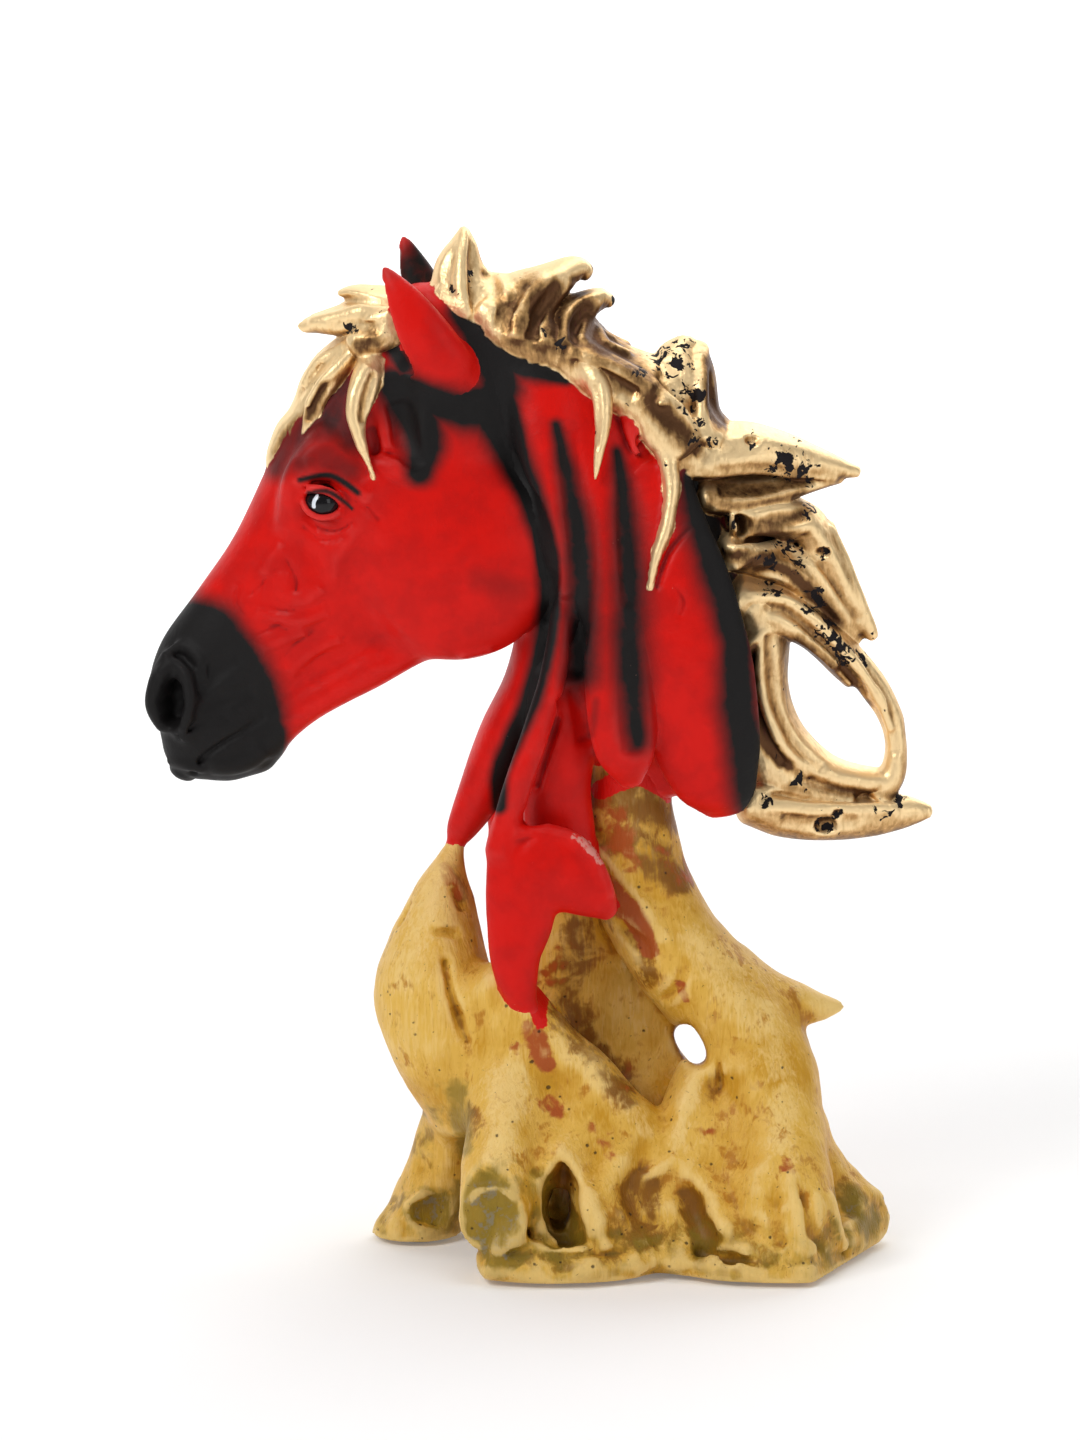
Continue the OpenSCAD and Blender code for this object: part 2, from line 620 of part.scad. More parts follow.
module head_hollows() {
    sweep(jaw_gap_rows, sides = 7, steps = 1);
    for (side = [near, far]) {
        hull() {
            translate(on_head(nostril_at[0] - 2, nostril_at[1] + 1, side * (half_muzzle + 3)))
                sphere(d = nostril_d, $fn = bead_fn);
            translate(on_head(nostril_at[0] + 3, nostril_at[1] - 1, side * (half_muzzle + 2)))
                sphere(d = nostril_d * 0.8, $fn = bead_fn);
            translate(on_head(nostril_at[0] + 1, nostril_at[1], side * (half_muzzle - 4)))
                sphere(d = nostril_d * 0.4, $fn = bead_fn);
        }
        sweep(mouth_rows(side), sides = 6, steps = 1);
        hull()
            for (lid = [-1, 1])
                translate(on_head(eye_at[0] + lid * eye_d * 0.35, eye_at[1], side * eye_rim_side))
                    sphere(d = eye_d, $fn = bead_fn);
        eye_form(side, glue_gap);
    }
}

module head() {
    color(paint_red)
        difference() {
            head_form();
            head_hollows();
            pin_form(rod_gap);
        }
}

// Middle of the pin: back from the poll and down from it
pin_back = 27;
pin_drop = 28;

module pin_form(grow = 0) {
    translate(poll + [pin_back - pin_len / 2 - grow, 0, -pin_drop])
        rotate([0, 90, 0])
            cylinder(d = pin_d + 2 * grow, h = pin_len + 2 * grow, $fn = 18);
}

module head_pin() {
    color("silver")
        pin_form();
}

module near_eye() {
    color("black")
        eye_form(near);
}

module far_eye() {
    color("black")
        eye_form(far);
}

// Ears
ear_root = [head_len * 0.115, -18];
near_ear_lean = 32;
far_ear_lean = 25;

// Share of the length, of the thickness and of the width at each station of an ear
ear_stations = [
    [-0.12, 0.95, 0.75],
    [0.08, 1, 0.86],
    [0.4, 0.9, 1],
    [0.75, 0.6, 0.6],
    [0.93, 0.3, 0.26],
    [1, 0.1, 0.1]
];

function ear_rows(side, lean) =
    let (root = on_head(ear_root[0], ear_root[1], side * half_brow * 0.62))
    let (reach = [-sin(lean), side * 0.13, cos(lean)] * ear_len)
    [for (s = ear_stations) row(root + reach * s[0], ear_t / 2 * s[1], ear_w / 2 * s[2])];

near_ear_rows = ear_rows(near, near_ear_lean);
far_ear_rows = ear_rows(far, far_ear_lean);

module ear_form(rows, grow = 0) {
    sweep(rows, sides = 10, grow = grow);
}

// The cup opens towards the horse's face
module ear(rows) {
    cup_lead = [ear_w * -0.5, 0, -2];
    color(paint_red)
        difference() {
            ear_form(rows);
            translate(cup_lead)
                sweep([for (r = rows) row(place(r), r[3] * 0.5, r[4] * 0.75)], sides = 8);
            head_form(glue_gap);
            neck_form(glue_gap);
        }
}

module near_ear() {
    ear(near_ear_rows);
}

module far_ear() {
    ear(far_ear_rows);
}

// Hanging folds of the neck
fold_r = fold_t / 2;
ribbon_r = ribbon_w / 2;
front_ribbon_rows = [
    row(seat + [-24, 0, 42], neck_w * 0.28, ribbon_r),
    row(seat + [-30, 0, 27], neck_w * 0.26, ribbon_r),
    row(seat + [-37, 0, 13], neck_w * 0.22, ribbon_r),
    row(between(seat + [-37, 0, 13], stump_tip, 0.5), neck_w * 0.16, ribbon_r),
    row(between(seat + [-37, 0, 13], stump_tip, 0.82), neck_w * 0.09, ribbon_r * 0.62),
    row(stump_tip + [0, 0, 2.5], 2, 2)
];

module front_ribbon_form(grow = 0) {
    sweep(front_ribbon_rows, grow = grow);
}

module front_ribbon() {
    color(paint_black)
        difference() {
            front_ribbon_form();
            neck_form(glue_gap);
            head_form(glue_gap);
            driftwood_form(glue_gap);
        }
}

flap_r = flap_w / 2;
flap_side = -neck_w / 2;
flap_ribbon_rows = [
    row(seat + [-11, flap_side + 3, 40], fold_r * 0.7, 4),
    row(seat + [-17, flap_side + 1, 27], fold_r * 0.8, 4.2),
    row(seat + [-23, flap_side, 15], fold_r * 0.9, 4.4),
    row(seat + [-29, flap_side - 1, 1], fold_r * 0.9, 4.8),
    row(seat + [-33, flap_side - 1, -9], fold_r * 0.8, 5)
];
flap_rows = [
    row(seat + [-29, flap_side + 1, -3], fold_r * 0.7, flap_r * 0.44),
    row(seat + [-25, flap_side, flap_drop * -0.24], fold_r * 0.95, flap_r * 0.88),
    row(seat + [-23, flap_side - 1, flap_drop * -0.41], fold_r, flap_r),
    row(seat + [-27, flap_side - 1, flap_drop * -0.58], fold_r, flap_r * 0.66),
    row(seat + [-30, flap_side - 1, flap_drop * -0.78], fold_r * 0.8, flap_r * 0.4),
    row(seat + [-29, flap_side, -flap_drop], 0.9, 0.9)
];

module flap_form(side, grow = 0) {
    for (rows = [flap_ribbon_rows, flap_rows])
        sweep(side == near ? rows : flip(rows), grow = grow);
}

module flap(side) {
    color(paint_red)
        difference() {
            flap_form(side);
            neck_form(glue_gap);
            driftwood_form(glue_gap);
            front_ribbon_form(glue_gap);
        }
}

module near_flap() {
    flap(near);
}

module far_flap() {
    flap(far);
}

tongue_r = tongue_w / 2;
tongue_rows = [
    row(seat + [-8, 4 - neck_w / 2, 65], fold_r * 0.8, tongue_r * 0.75),
    row(seat + [-8, 1.5 - neck_w / 2, 45], fold_r, tongue_r * 0.88),
    row(seat + [-6, -neck_w / 2, 28], fold_r * 1.1, tongue_r * 0.94),
    row(seat + [-4, -neck_w / 2, 14], fold_r * 1.1, tongue_r),
    row(seat + [-3.5, 1 - neck_w / 2, 4], fold_r * 0.8, tongue_r * 0.66),
    row(seat + [-3.5, 2 - neck_w / 2, 0.5], 1.5, 1.5)
];

module tongue_form(side, grow = 0) {
    sweep(side == near ? tongue_rows : flip(tongue_rows), sides = 8, grow = grow);
}

module tongue(side) {
    color(paint_red)
        difference() {
            tongue_form(side);
            neck_form(glue_gap);
            driftwood_form(glue_gap);
            flap_form(side, glue_gap);
        }
}

module near_tongue() {
    tongue(near);
}

module far_tongue() {
    tongue(far);
}

shoulder_r = shoulder_w / 2;
shoulder_rows = [
    row(seat + [9, 7 - neck_w / 2, 70], fold_r * 0.8, shoulder_r * 0.7),
    row(seat + [13, 4 - neck_w / 2, 48], fold_r, shoulder_r * 0.95),
    row(seat + [16, 3 - neck_w / 2, 28], fold_r * 1.1, shoulder_r),
    row(seat + [19, 5 - neck_w / 2, 10], fold_r, shoulder_r * 0.84),
    row(seat + [21, 8 - neck_w / 2, -3], fold_r * 0.6, shoulder_r * 0.48),
    row(seat + [22, 10 - neck_w / 2, -7], 1.2, 1.2)
];

module shoulder_form(side, grow = 0) {
    sweep(side == near ? shoulder_rows : flip(shoulder_rows), sides = 8, grow = grow);
}

module shoulder(side) {
    color(paint_red)
        difference() {
            shoulder_form(side);
            neck_form(glue_gap);
            driftwood_form(glue_gap);
            tongue_form(side, glue_gap);
        }
}

module near_shoulder() {
    shoulder(near);
}

module far_shoulder() {
    shoulder(far);
}

// Gilded locks
half_mane = mane_w / 2;
lock_r = lock_d / 2;
tip_r = 0.8;

module lock(rows, grow = 0) {
    sweep(rows, ridges = 3, ridge = 0.1, grow = grow);
}

forelock_crown_rows = [
    row(poll + [-4, 0, 0], half_mane * 0.7, lock_r * 0.7),
    row(poll + [forelock_reach * -0.38, 0, -0.5], half_mane * 0.68, lock_r * 0.68),
    row(poll + [forelock_reach * -0.65, 0, -0.5], half_mane * 0.55, lock_r * 0.54),
    row(poll + [forelock_reach * -0.85, 0, -2.5], half_mane * 0.36, lock_r * 0.34),
    row(poll + [-forelock_reach, 0, -4.5], tip_r, tip_r)
];
forelock_brow_rows = [
    row(poll + [-10, 0, -8], half_mane * 0.7, lock_r * 0.7),
    row(poll + [forelock_reach * -0.65, 0, -12], half_mane * 0.66, lock_r * 0.6),
    row(poll + [forelock_reach * -0.9, 0, -21.5], half_mane * 0.54, lock_r * 0.46),
    row(poll + [forelock_reach * -1.09, 0, -31], half_mane * 0.34, lock_r * 0.3),
    row(poll + [forelock_reach * -1.21, 0, -38.5], tip_r, tip_r)
];
side_lock_rows = [
    row(poll + [-11, half_brow * -0.4, -10], lock_r * 0.55, lock_r * 0.55),
    row(poll + [-16, half_brow * -0.64, -17], lock_r * 0.5, lock_r * 0.5),
    row(poll + [-18, half_brow * -0.82, -26], lock_r * 0.4, lock_r * 0.45),
    row(poll + [-17, half_brow * -0.92, -35], lock_r * 0.28, lock_r * 0.3),
    row(poll + [-14, half_brow * -0.97, -42.5], tip_r, tip_r)
];

module forelock_crown() {
    color(gilt)
        difference() {
            lock(forelock_crown_rows);
            head_form(glue_gap);
            neck_form(glue_gap);
            ear_form(near_ear_rows, glue_gap);
            ear_form(far_ear_rows, glue_gap);
        }
}

module forelock_brow() {
    color(gilt)
        difference() {
            lock(forelock_brow_rows);
            head_form(glue_gap);
            lock(forelock_crown_rows, glue_gap);
        }
}

module forelock_side(rows) {
    color(gilt)
        difference() {
            lock(rows);
            head_form(glue_gap);
            lock(forelock_crown_rows, glue_gap);
            lock(forelock_brow_rows, glue_gap);
            ear_form(near_ear_rows, glue_gap);
            ear_form(far_ear_rows, glue_gap);
        }
}

module forelock_near() {
    forelock_side(side_lock_rows);
}

module forelock_far() {
    forelock_side(flip(side_lock_rows));
}

// Mane along the crest of the neck

poll_crest = crest(0);
upper_crest = crest(1);
middle_crest = crest(2);
lower_crest = crest(3);
bottom_crest = crest(5);

poll_tuft_rows = [
    row(poll_crest + [-8, 0, -11], half_mane * 0.62, lock_r * 0.95),
    row(poll_crest + [-12, 0, 0], half_mane * 0.54, lock_r * 0.84),
    row(poll_crest + [-14.8, 0, tuft_rise * 0.47], half_mane * 0.36, lock_r * 0.6),
    row(poll_crest + [-14.5, 0, tuft_rise * 0.8], half_mane * 0.18, lock_r * 0.3),
    row(poll_crest + [-13.6, 0, tuft_rise], tip_r, tip_r)
];
front_tuft_rows = [
    row(poll_crest + [-4, 0, -11], half_mane * 0.85, lock_r * 1.1),
    row(poll_crest + [3, 0, -4], half_mane * 0.74, lock_r * 0.92),
    row(poll_crest + [10, 0, 3], half_mane * 0.5, lock_r * 0.58),
    row(poll_crest + [15, 0, 7], half_mane * 0.28, lock_r * 0.33),
    row(poll_crest + [18.2, 0, 8.5], tip_r, tip_r)
];
middle_tuft_rows = [
    row(upper_crest + [-14, 0, -3], half_mane * 0.9, lock_r * 1.05),
    row(upper_crest + [-7, 0, 4], half_mane * 0.76, lock_r * 0.78),
    row(upper_crest + [-2, 0, 9.5], half_mane * 0.45, lock_r * 0.44),
    row(upper_crest + [1.2, 0, 12.5], tip_r, tip_r)
];
rear_tuft_rows = [
    row(upper_crest + [-6, 0, -6], half_mane * 0.95, lock_r),
    row(upper_crest + [7, 0, -11.5], half_mane, lock_r * 1.15),
    row(upper_crest + [17, 0, -11.5], half_mane * 0.9, lock_r * 1.05),
    row(upper_crest + [21.5, 0, -4], half_mane * 0.5, lock_r * 0.56),
    row(upper_crest + [21.2, 0, 2.5], tip_r, tip_r)
];
long_lock_rows = [
    row(middle_crest + [-14, 0, 2], half_mane * 1.05, lock_r * 1.1),
    row(middle_crest + [long_reach * 0.12, 0, -3], half_mane, lock_r * 1.08),
    row(middle_crest + [long_reach * 0.47, 0, -5], half_mane * 0.74, lock_r * 0.84),
    row(middle_crest + [long_reach * 0.75, 0, -5], half_mane * 0.46, lock_r * 0.55),
    row(middle_crest + [long_reach * 0.9, 0, -5.8], half_mane * 0.22, lock_r * 0.28),
    row(middle_crest + [long_reach, 0, -6.8], tip_r, tip_r)
];
rear_lock_rows = [
    row(middle_crest + [-2, 0, -14], half_mane * 1.08, lock_r * 1.15),
    row(middle_crest + [rear_reach * 0.3, 0, -18.5], half_mane * 0.98, lock_r * 1.12),
    row(middle_crest + [rear_reach * 0.54, 0, -26], half_mane * 0.76, lock_r * 0.95),
    row(middle_crest + [rear_reach * 0.74, 0, -35.5], half_mane * 0.52, lock_r * 0.66),
    row(middle_crest + [rear_reach * 0.9, 0, -43.5], half_mane * 0.28, lock_r * 0.36),
    row(middle_crest + [rear_reach, 0, -49], tip_r, tip_r)
];

// The loop runs from the lower crest down to the tail at the bottom of the crest
function loop_row(fall, reach, w, d) =
    row(between(lower_crest, bottom_crest, fall) + [reach, 0, 0], half_mane * w, lock_r * d);

loop_lock_rows = [
    loop_row(-0.03, -4, 1, 1.05),
    loop_row(0.13, loop_reach * 0.27, 0.76, 0.86),
    loop_row(0.31, loop_reach * 0.6, 0.54, 0.62),
    loop_row(0.49, loop_reach * 0.86, 0.4, 0.46),
    loop_row(0.73, loop_reach * 1.02, 0.32, 0.4),
    loop_row(0.95, loop_reach * 1.07, 0.3, 0.38),
    loop_row(1.1, loop_reach, 0.3, 0.42)
];
root_lock_rows = [
    loop_row(0.11, 1, 0.9, 0.8),
    loop_row(0.38, 4, 0.76, 0.72),
    loop_row(0.61, 4, 0.66, 0.62),
    loop_row(0.83, 8, 0.62, 0.6),
    loop_row(1.02, loop_reach * 0.46, 0.56, 0.6),
    loop_row(1.13, loop_reach * 0.74, 0.48, 0.5),
    loop_row(1.16, loop_reach * 0.95, 0.36, 0.38)
];
tail_rows = [
    row(bottom_crest + [-1, 0, -8], half_mane * 0.72, lock_r * 0.84),
    row(bottom_crest + [tail_reach * 0.24, 0, -12], half_mane * 0.64, lock_r * 0.89),
    row(bottom_crest + [tail_reach * 0.51, 0, -13.5], half_mane * 0.54, lock_r * 0.74),
    row(bottom_crest + [tail_reach * 0.78, 0, -13], half_mane * 0.36, lock_r * 0.5),
    row(bottom_crest + [tail_reach * 0.92, 0, -13.2], half_mane * 0.2, lock_r * 0.26),
    row(bottom_crest + [tail_reach, 0, -13.7], tip_r, tip_r)
];

module gilded(rows) {
    color(gilt)
        difference() {
            lock(rows);
            neck_form(glue_gap);
            children();
        }
}

module mane_poll_tuft() {
    gilded(poll_tuft_rows) {
        head_form(glue_gap);
        lock(forelock_crown_rows, glue_gap);
        ear_form(near_ear_rows, glue_gap);
        ear_form(far_ear_rows, glue_gap);
    }
}

module mane_front_tuft() {
    gilded(front_tuft_rows) {
        head_form(glue_gap);
        lock(poll_tuft_rows, glue_gap);
        ear_form(near_ear_rows, glue_gap);
        ear_form(far_ear_rows, glue_gap);
    }
}

module mane_middle_tuft() {
    gilded(middle_tuft_rows)
        lock(front_tuft_rows, glue_gap);
}

module mane_rear_tuft() {
    gilded(rear_tuft_rows)
        lock(middle_tuft_rows, glue_gap);
}

module mane_long_lock() {
    gilded(long_lock_rows)
        lock(rear_tuft_rows, glue_gap);
}

module mane_rear_lock() {
    gilded(rear_lock_rows)
        lock(long_lock_rows, glue_gap);
}

module mane_loop_lock() {
    gilded(loop_lock_rows)
        lock(rear_lock_rows, glue_gap);
}

module mane_root_lock() {
    gilded(root_lock_rows) {
        lock(loop_lock_rows, glue_gap);
        lock(rear_lock_rows, glue_gap);
    }
}

module mane_tail() {
    gilded(tail_rows) {
        lock(root_lock_rows, glue_gap);
        lock(loop_lock_rows, glue_gap);
        shoulder_form(near, glue_gap);
        shoulder_form(far, glue_gap);
    }
}

strand_r = strand_d / 2;
front_strand_rows = [
    row(upper_crest + [-9, neck_w * -0.33, -3], strand_r * 1.2, strand_r * 1.2),
    row(upper_crest + [-2.5, neck_w * -0.41, -9], strand_r, strand_r),
    row(upper_crest + [-0.5, neck_w * -0.46, -20], strand_r * 0.85, strand_r * 0.8),
    row(upper_crest + [-3, neck_w * -0.5, -31], strand_r * 0.5, strand_r * 0.45),
    row(upper_crest + [-4.5, neck_w * -0.52, -36], 0.6, 0.6)
];
back_strand_rows = [
    row(middle_crest + [-10, neck_w * -0.36, 8], strand_r * 1.2, strand_r * 1.3),
    row(middle_crest + [-5.5, neck_w * -0.43, -2], strand_r, strand_r),
    row(middle_crest + [-6.5, neck_w * -0.49, -14], strand_r * 0.85, strand_r * 0.8),
    row(middle_crest + [-9.5, neck_w * -0.53, -26], strand_r * 0.55, strand_r * 0.5),
    row(middle_crest + [-12, neck_w * -0.55, -35.5], 0.6, 0.6)
];

// Each strand starts under the locks of the mane and lies on the folds of the neck
module strand(rows, side) {
    color(gilt)
        difference() {
            sweep(side == near ? rows : flip(rows), sides = 7);
            neck_form(glue_gap);
            shoulder_form(side, glue_gap);
            tongue_form(side, glue_gap);
            for (rows = [front_tuft_rows, middle_tuft_rows, rear_tuft_rows, long_lock_rows])
                lock(rows, glue_gap);
        }
}

module near_front_strand() {
    strand(front_strand_rows, near);
}

module near_back_strand() {
    strand(back_strand_rows, near);
}

module far_front_strand() {
    strand(front_strand_rows, far);
}

module far_back_strand() {
    strand(back_strand_rows, far);
}

driftwood_base();
felt_pads();
armature_rod();
neck();
head();
head_pin();
near_eye();
far_eye();
near_ear();
far_ear();
front_ribbon();
near_flap();
far_flap();
near_tongue();
far_tongue();
near_shoulder();
far_shoulder();
forelock_crown();
forelock_brow();
forelock_near();
forelock_far();
mane_poll_tuft();
mane_front_tuft();
mane_middle_tuft();
mane_rear_tuft();
mane_long_lock();
mane_rear_lock();
mane_loop_lock();
mane_root_lock();
mane_tail();
near_front_strand();
near_back_strand();
far_front_strand();
far_back_strand();
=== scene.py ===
import bpy
import math
import numpy as np
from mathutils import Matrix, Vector


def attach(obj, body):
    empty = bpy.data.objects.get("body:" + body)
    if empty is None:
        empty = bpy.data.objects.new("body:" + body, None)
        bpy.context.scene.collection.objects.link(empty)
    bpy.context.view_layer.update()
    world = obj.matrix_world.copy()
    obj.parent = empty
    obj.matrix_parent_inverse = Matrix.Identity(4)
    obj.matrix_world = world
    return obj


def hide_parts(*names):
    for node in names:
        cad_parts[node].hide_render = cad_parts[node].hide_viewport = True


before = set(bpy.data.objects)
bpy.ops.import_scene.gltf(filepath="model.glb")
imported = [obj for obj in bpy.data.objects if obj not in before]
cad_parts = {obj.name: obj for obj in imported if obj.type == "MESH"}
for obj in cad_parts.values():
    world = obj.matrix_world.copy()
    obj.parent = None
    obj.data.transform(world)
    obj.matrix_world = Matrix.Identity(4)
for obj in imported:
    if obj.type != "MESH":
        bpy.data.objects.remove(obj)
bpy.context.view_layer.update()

# the camera comes first: the modelling lines below are drawn through it, in picture pixels
viewSet = dict(
    target=(0.255, 0.0, 137.5), rise=10.0, distance=1600.0, pixel=0.255, wide=1080, tall=1440,
    sensor=36.0, clip=50.0)
toMetres = 0.001
viewRise = math.radians(viewSet["rise"])
viewAhead = np.array((0.0, math.cos(viewRise), -math.sin(viewRise)))
viewUp = np.array((0.0, math.sin(viewRise), math.cos(viewRise)))
viewEye = np.array(viewSet["target"]) - viewAhead * viewSet["distance"]
focalPixels = viewSet["distance"] / viewSet["pixel"]
midPixel = np.array((viewSet["wide"], viewSet["tall"])) / 2


def makeCamera():
    data = bpy.data.cameras.new("studioCamera")
    data.sensor_fit = "VERTICAL"
    data.sensor_height = viewSet["sensor"]
    data.lens = focalPixels * viewSet["sensor"] / viewSet["tall"]
    data.clip_end = viewSet["clip"]
    camera = bpy.data.objects.new("studioCamera", data)
    bpy.context.scene.collection.objects.link(camera)
    camera.location = Vector(viewEye * toMetres)
    camera.rotation_euler = (math.radians(90) - viewRise, 0.0, 0.0)
    bpy.context.scene.camera = camera


def toPixel(points):
    offset = points - viewEye
    depth = offset @ viewAhead
    across = midPixel[0] + focalPixels * offset[:, 0] / depth
    down = midPixel[1] - focalPixels * (offset @ viewUp) / depth
    return np.stack((across, down), axis=1)


def pixelRays(pixels):
    pixels = np.asarray(pixels, float)
    sideways = (pixels[:, 0] - midPixel[0]) / focalPixels
    upwards = (midPixel[1] - pixels[:, 1]) / focalPixels
    rays = viewAhead + sideways[:, None] * np.array((1.0, 0.0, 0.0)) + upwards[:, None] * viewUp
    return rays / np.linalg.norm(rays, axis=1)[:, None]


# soft modelling clay: distance fields that are blended, cut and skinned. All of it is in millimetres
claySet = dict(
    reach=4.0, empty=40.0, lap=0.35, quickScale=1.7, chunk=20000, footing=1.6, thinnest=0.12, cutReach=0.6,
    joint=1.4, margin=3.0)
landSet = dict(steps=60, lead=75.0, stride=0.8, back=-1.0, ahead=5.0, miss=0.6, probe=0.25)
gridSet = dict(block=4, room=5, near=1.15, slack=0.6)
smoothPulls = (0.5, -0.52, 0.5, -0.52, 0.35)
hollowTurns = dict(fine=3, broad=18)
hashSet = dict(
    x=73856093, y=19349663, z=83492791, first=1274126177, second=60493, top=0x7FFFFFFF, seedStep=13.7)
toFar = np.array((1.0, -1.0, 1.0))  # mirrors a place to the far side


def noiseAt(points, size, seed):
    q = points / size + seed * hashSet["seedStep"]
    cell = np.floor(q).astype(np.int64)
    f = q - cell
    f = f * f * (3 - 2 * f)
    top = hashSet["top"]
    total = np.zeros(len(points))
    for dx in (0, 1):
        for dy in (0, 1):
            for dz in (0, 1):
                n = (cell[:, 0] + dx) * hashSet["x"]
                n = n ^ (cell[:, 1] + dy) * hashSet["y"] ^ (cell[:, 2] + dz) * hashSet["z"]
                n = (n ^ (n >> 13)) * hashSet["first"] & top
                n = (n ^ (n >> 16)) * hashSet["second"] & top
                weight = (f[:, 0] if dx else 1 - f[:, 0]) * (f[:, 1] if dy else 1 - f[:, 1])
                total += weight * (f[:, 2] if dz else 1 - f[:, 2]) * (n / top)
    return total * 2 - 1


def softMin(a, b, k):
    h = np.maximum(k - np.abs(a - b), 0) / k
    return np.minimum(a, b) - h * h * k * 0.25


def softMax(a, b, k):
    return -softMin(-a, -b, k)


def smoothRows(rows, steps):
    rows = np.asarray(rows, float)
    padded = np.vstack((rows[:1], rows, rows[-1:]))
    out = []
    for i in range(len(rows) - 1):
        a, b, c, d = padded[i:i + 4]
        for k in range(steps):
            t = k / steps
            cubic = (3 * b - a - 3 * c + d) * t ** 3
            out.append(0.5 * (2 * b + (c - a) * t + (2 * a - 5 * b + 4 * c - d) * t * t + cubic))
    out.append(rows[-1])
    return np.array(out)


def unitRows(v):
    return v / np.maximum(np.linalg.norm(v, axis=1), 1e-9)[:, None]


def roundDist(offsets, radii):
    # about how far a place lies from the skin of an ellipsoid
    k0 = np.sqrt(sum((o / r) ** 2 for o, r in zip(offsets, radii)))
    k1 = np.sqrt(sum((o / r ** 2) ** 2 for o, r in zip(offsets, radii)))
    return k0 * (k0 - 1) / np.maximum(k1, 1e-6)


class Stroke:
    # a rolled strip of clay: each row is x, y, z, half width across, half depth
    def __init__(self, rows, blend=2.0, cut=False, steps=5, tip=0.6, across=None):
        stations = smoothRows(rows, steps)
        self.blend = blend
        self.cut = cut
        self.tip = tip
        self.centre = stations[:, :3]
        self.wide = np.maximum(stations[:, 3], claySet["thinnest"])
        self.deep = np.maximum(stations[:, 4], claySet["thinnest"])
        self.along = unitRows(np.gradient(self.centre, axis=0))
        if across is None:
            side = np.tile((0.0, 1.0, 0.0), (len(stations), 1))
        else:
            side = smoothRows(across, steps)
        side = side - self.along * np.sum(side * self.along, axis=1)[:, None]
        self.side = unitRows(side)
        self.normal = np.cross(self.along, self.side)
        thick = np.maximum(self.wide, self.deep)[:, None]
        self.low = (self.centre - thick).min(0)
        self.high = (self.centre + thick).max(0)

    def flipped(self):
        other = Stroke.__new__(Stroke)
        other.__dict__.update(self.__dict__)
        for name in ("centre", "along", "side", "normal"):
            setattr(other, name, getattr(self, name) * toFar)
        other.low = np.array((self.low[0], -self.high[1], self.low[2]))
        other.high = np.array((self.high[0], -self.low[1], self.high[2]))
        return other

    def nearest(self, points):
        best = np.full(len(points), 1e9)
        place = np.zeros(len(points))
        x, y, z = np.ascontiguousarray(points.T)
        for i in range(len(self.centre) - 1):
            a = self.centre[i]
            ab = self.centre[i + 1] - a
            dx = x - a[0]
            dy = y - a[1]
            dz = z - a[2]
            t = np.clip((dx * ab[0] + dy * ab[1] + dz * ab[2]) / (ab @ ab), 0, 1)
            gap = (dx - t * ab[0]) ** 2 + (dy - t * ab[1]) ** 2 + (dz - t * ab[2]) ** 2
            closer = gap < best
            best = np.where(closer, gap, best)
            place = np.where(closer, i + t, place)
        return place

    def dist(self, points):
        place = self.nearest(points)
        i = np.minimum(place.astype(int), len(self.centre) - 2)
        f = place - i
        g = f[:, None]
        offset = points - (self.centre[i] * (1 - g) + self.centre[i + 1] * g)
        a = np.sum(offset * (self.side[i] * (1 - g) + self.side[i + 1] * g), axis=1)
        b = np.sum(offset * (self.normal[i] * (1 - g) + self.normal[i + 1] * g), axis=1)
        e = np.sum(offset * self.along[i], axis=1)
        w = self.wide[i] * (1 - f) + self.wide[i + 1] * f
        d = self.deep[i] * (1 - f) + self.deep[i + 1] * f
        r = np.minimum(w, d) * self.tip
        return roundDist((a, b, e), (w, d, r))


class Loft:
    # sections square to one straight axis: each row is place along it, top, bottom, half width
    def __init__(self, start, axis, up, rows, blend=2.0, egg=0.0, steps=8, tip=0.6):
        stations = smoothRows(rows, steps)
        self.start = np.array(start, float)
        self.axis = np.array(axis, float)
        self.up = np.array(up, float)
        self.blend = blend
        self.cut = False
        self.egg = egg
        self.tip = tip
        self.place = stations[:, 0]
        self.mid = (stations[:, 1] + stations[:, 2]) / 2
        self.deep = (stations[:, 1] - stations[:, 2]) / 2
        self.wide = stations[:, 3]
        ends = self.start + self.axis * self.place[:, None] + self.up * self.mid[:, None]
        reach = np.maximum(self.deep, self.wide)[:, None]
        self.low = (ends - reach).min(0)
        self.high = (ends + reach).max(0)

    def dist(self, points):
        offset = points - self.start
        s = offset @ self.axis
        t = np.clip(s, self.place[0], self.place[-1])
        d = np.interp(t, self.place, self.deep)
        w = np.interp(t, self.place, self.wide)
        b = offset @ self.up - np.interp(t, self.place, self.mid)
        a = offset[:, 1]
        w = w * (1 + self.egg * np.clip(b / d, -1, 1))
        r = np.minimum(w, d) * self.tip
        return roundDist((a, b, s - t), (w, d, r))


class Ball:
    # an ellipsoid, with its own axes where it is turned
    def __init__(self, centre, radii, blend=2.0, cut=False, axes=None):
        self.centre = np.array(centre, float)
        self.radii = np.array(radii, float)
        self.axes = np.eye(3) if axes is None else unitRows(np.array(axes, float))
        self.blend = blend
        self.cut = cut
        self.low = self.centre - self.radii.max()
        self.high = self.centre + self.radii.max()

    def flipped(self):
        return Ball(self.centre * toFar, self.radii, self.blend, self.cut, self.axes * toFar)

    def dist(self, points):
        q = (points - self.centre) @ self.axes.T
        return roundDist(q.T, self.radii)


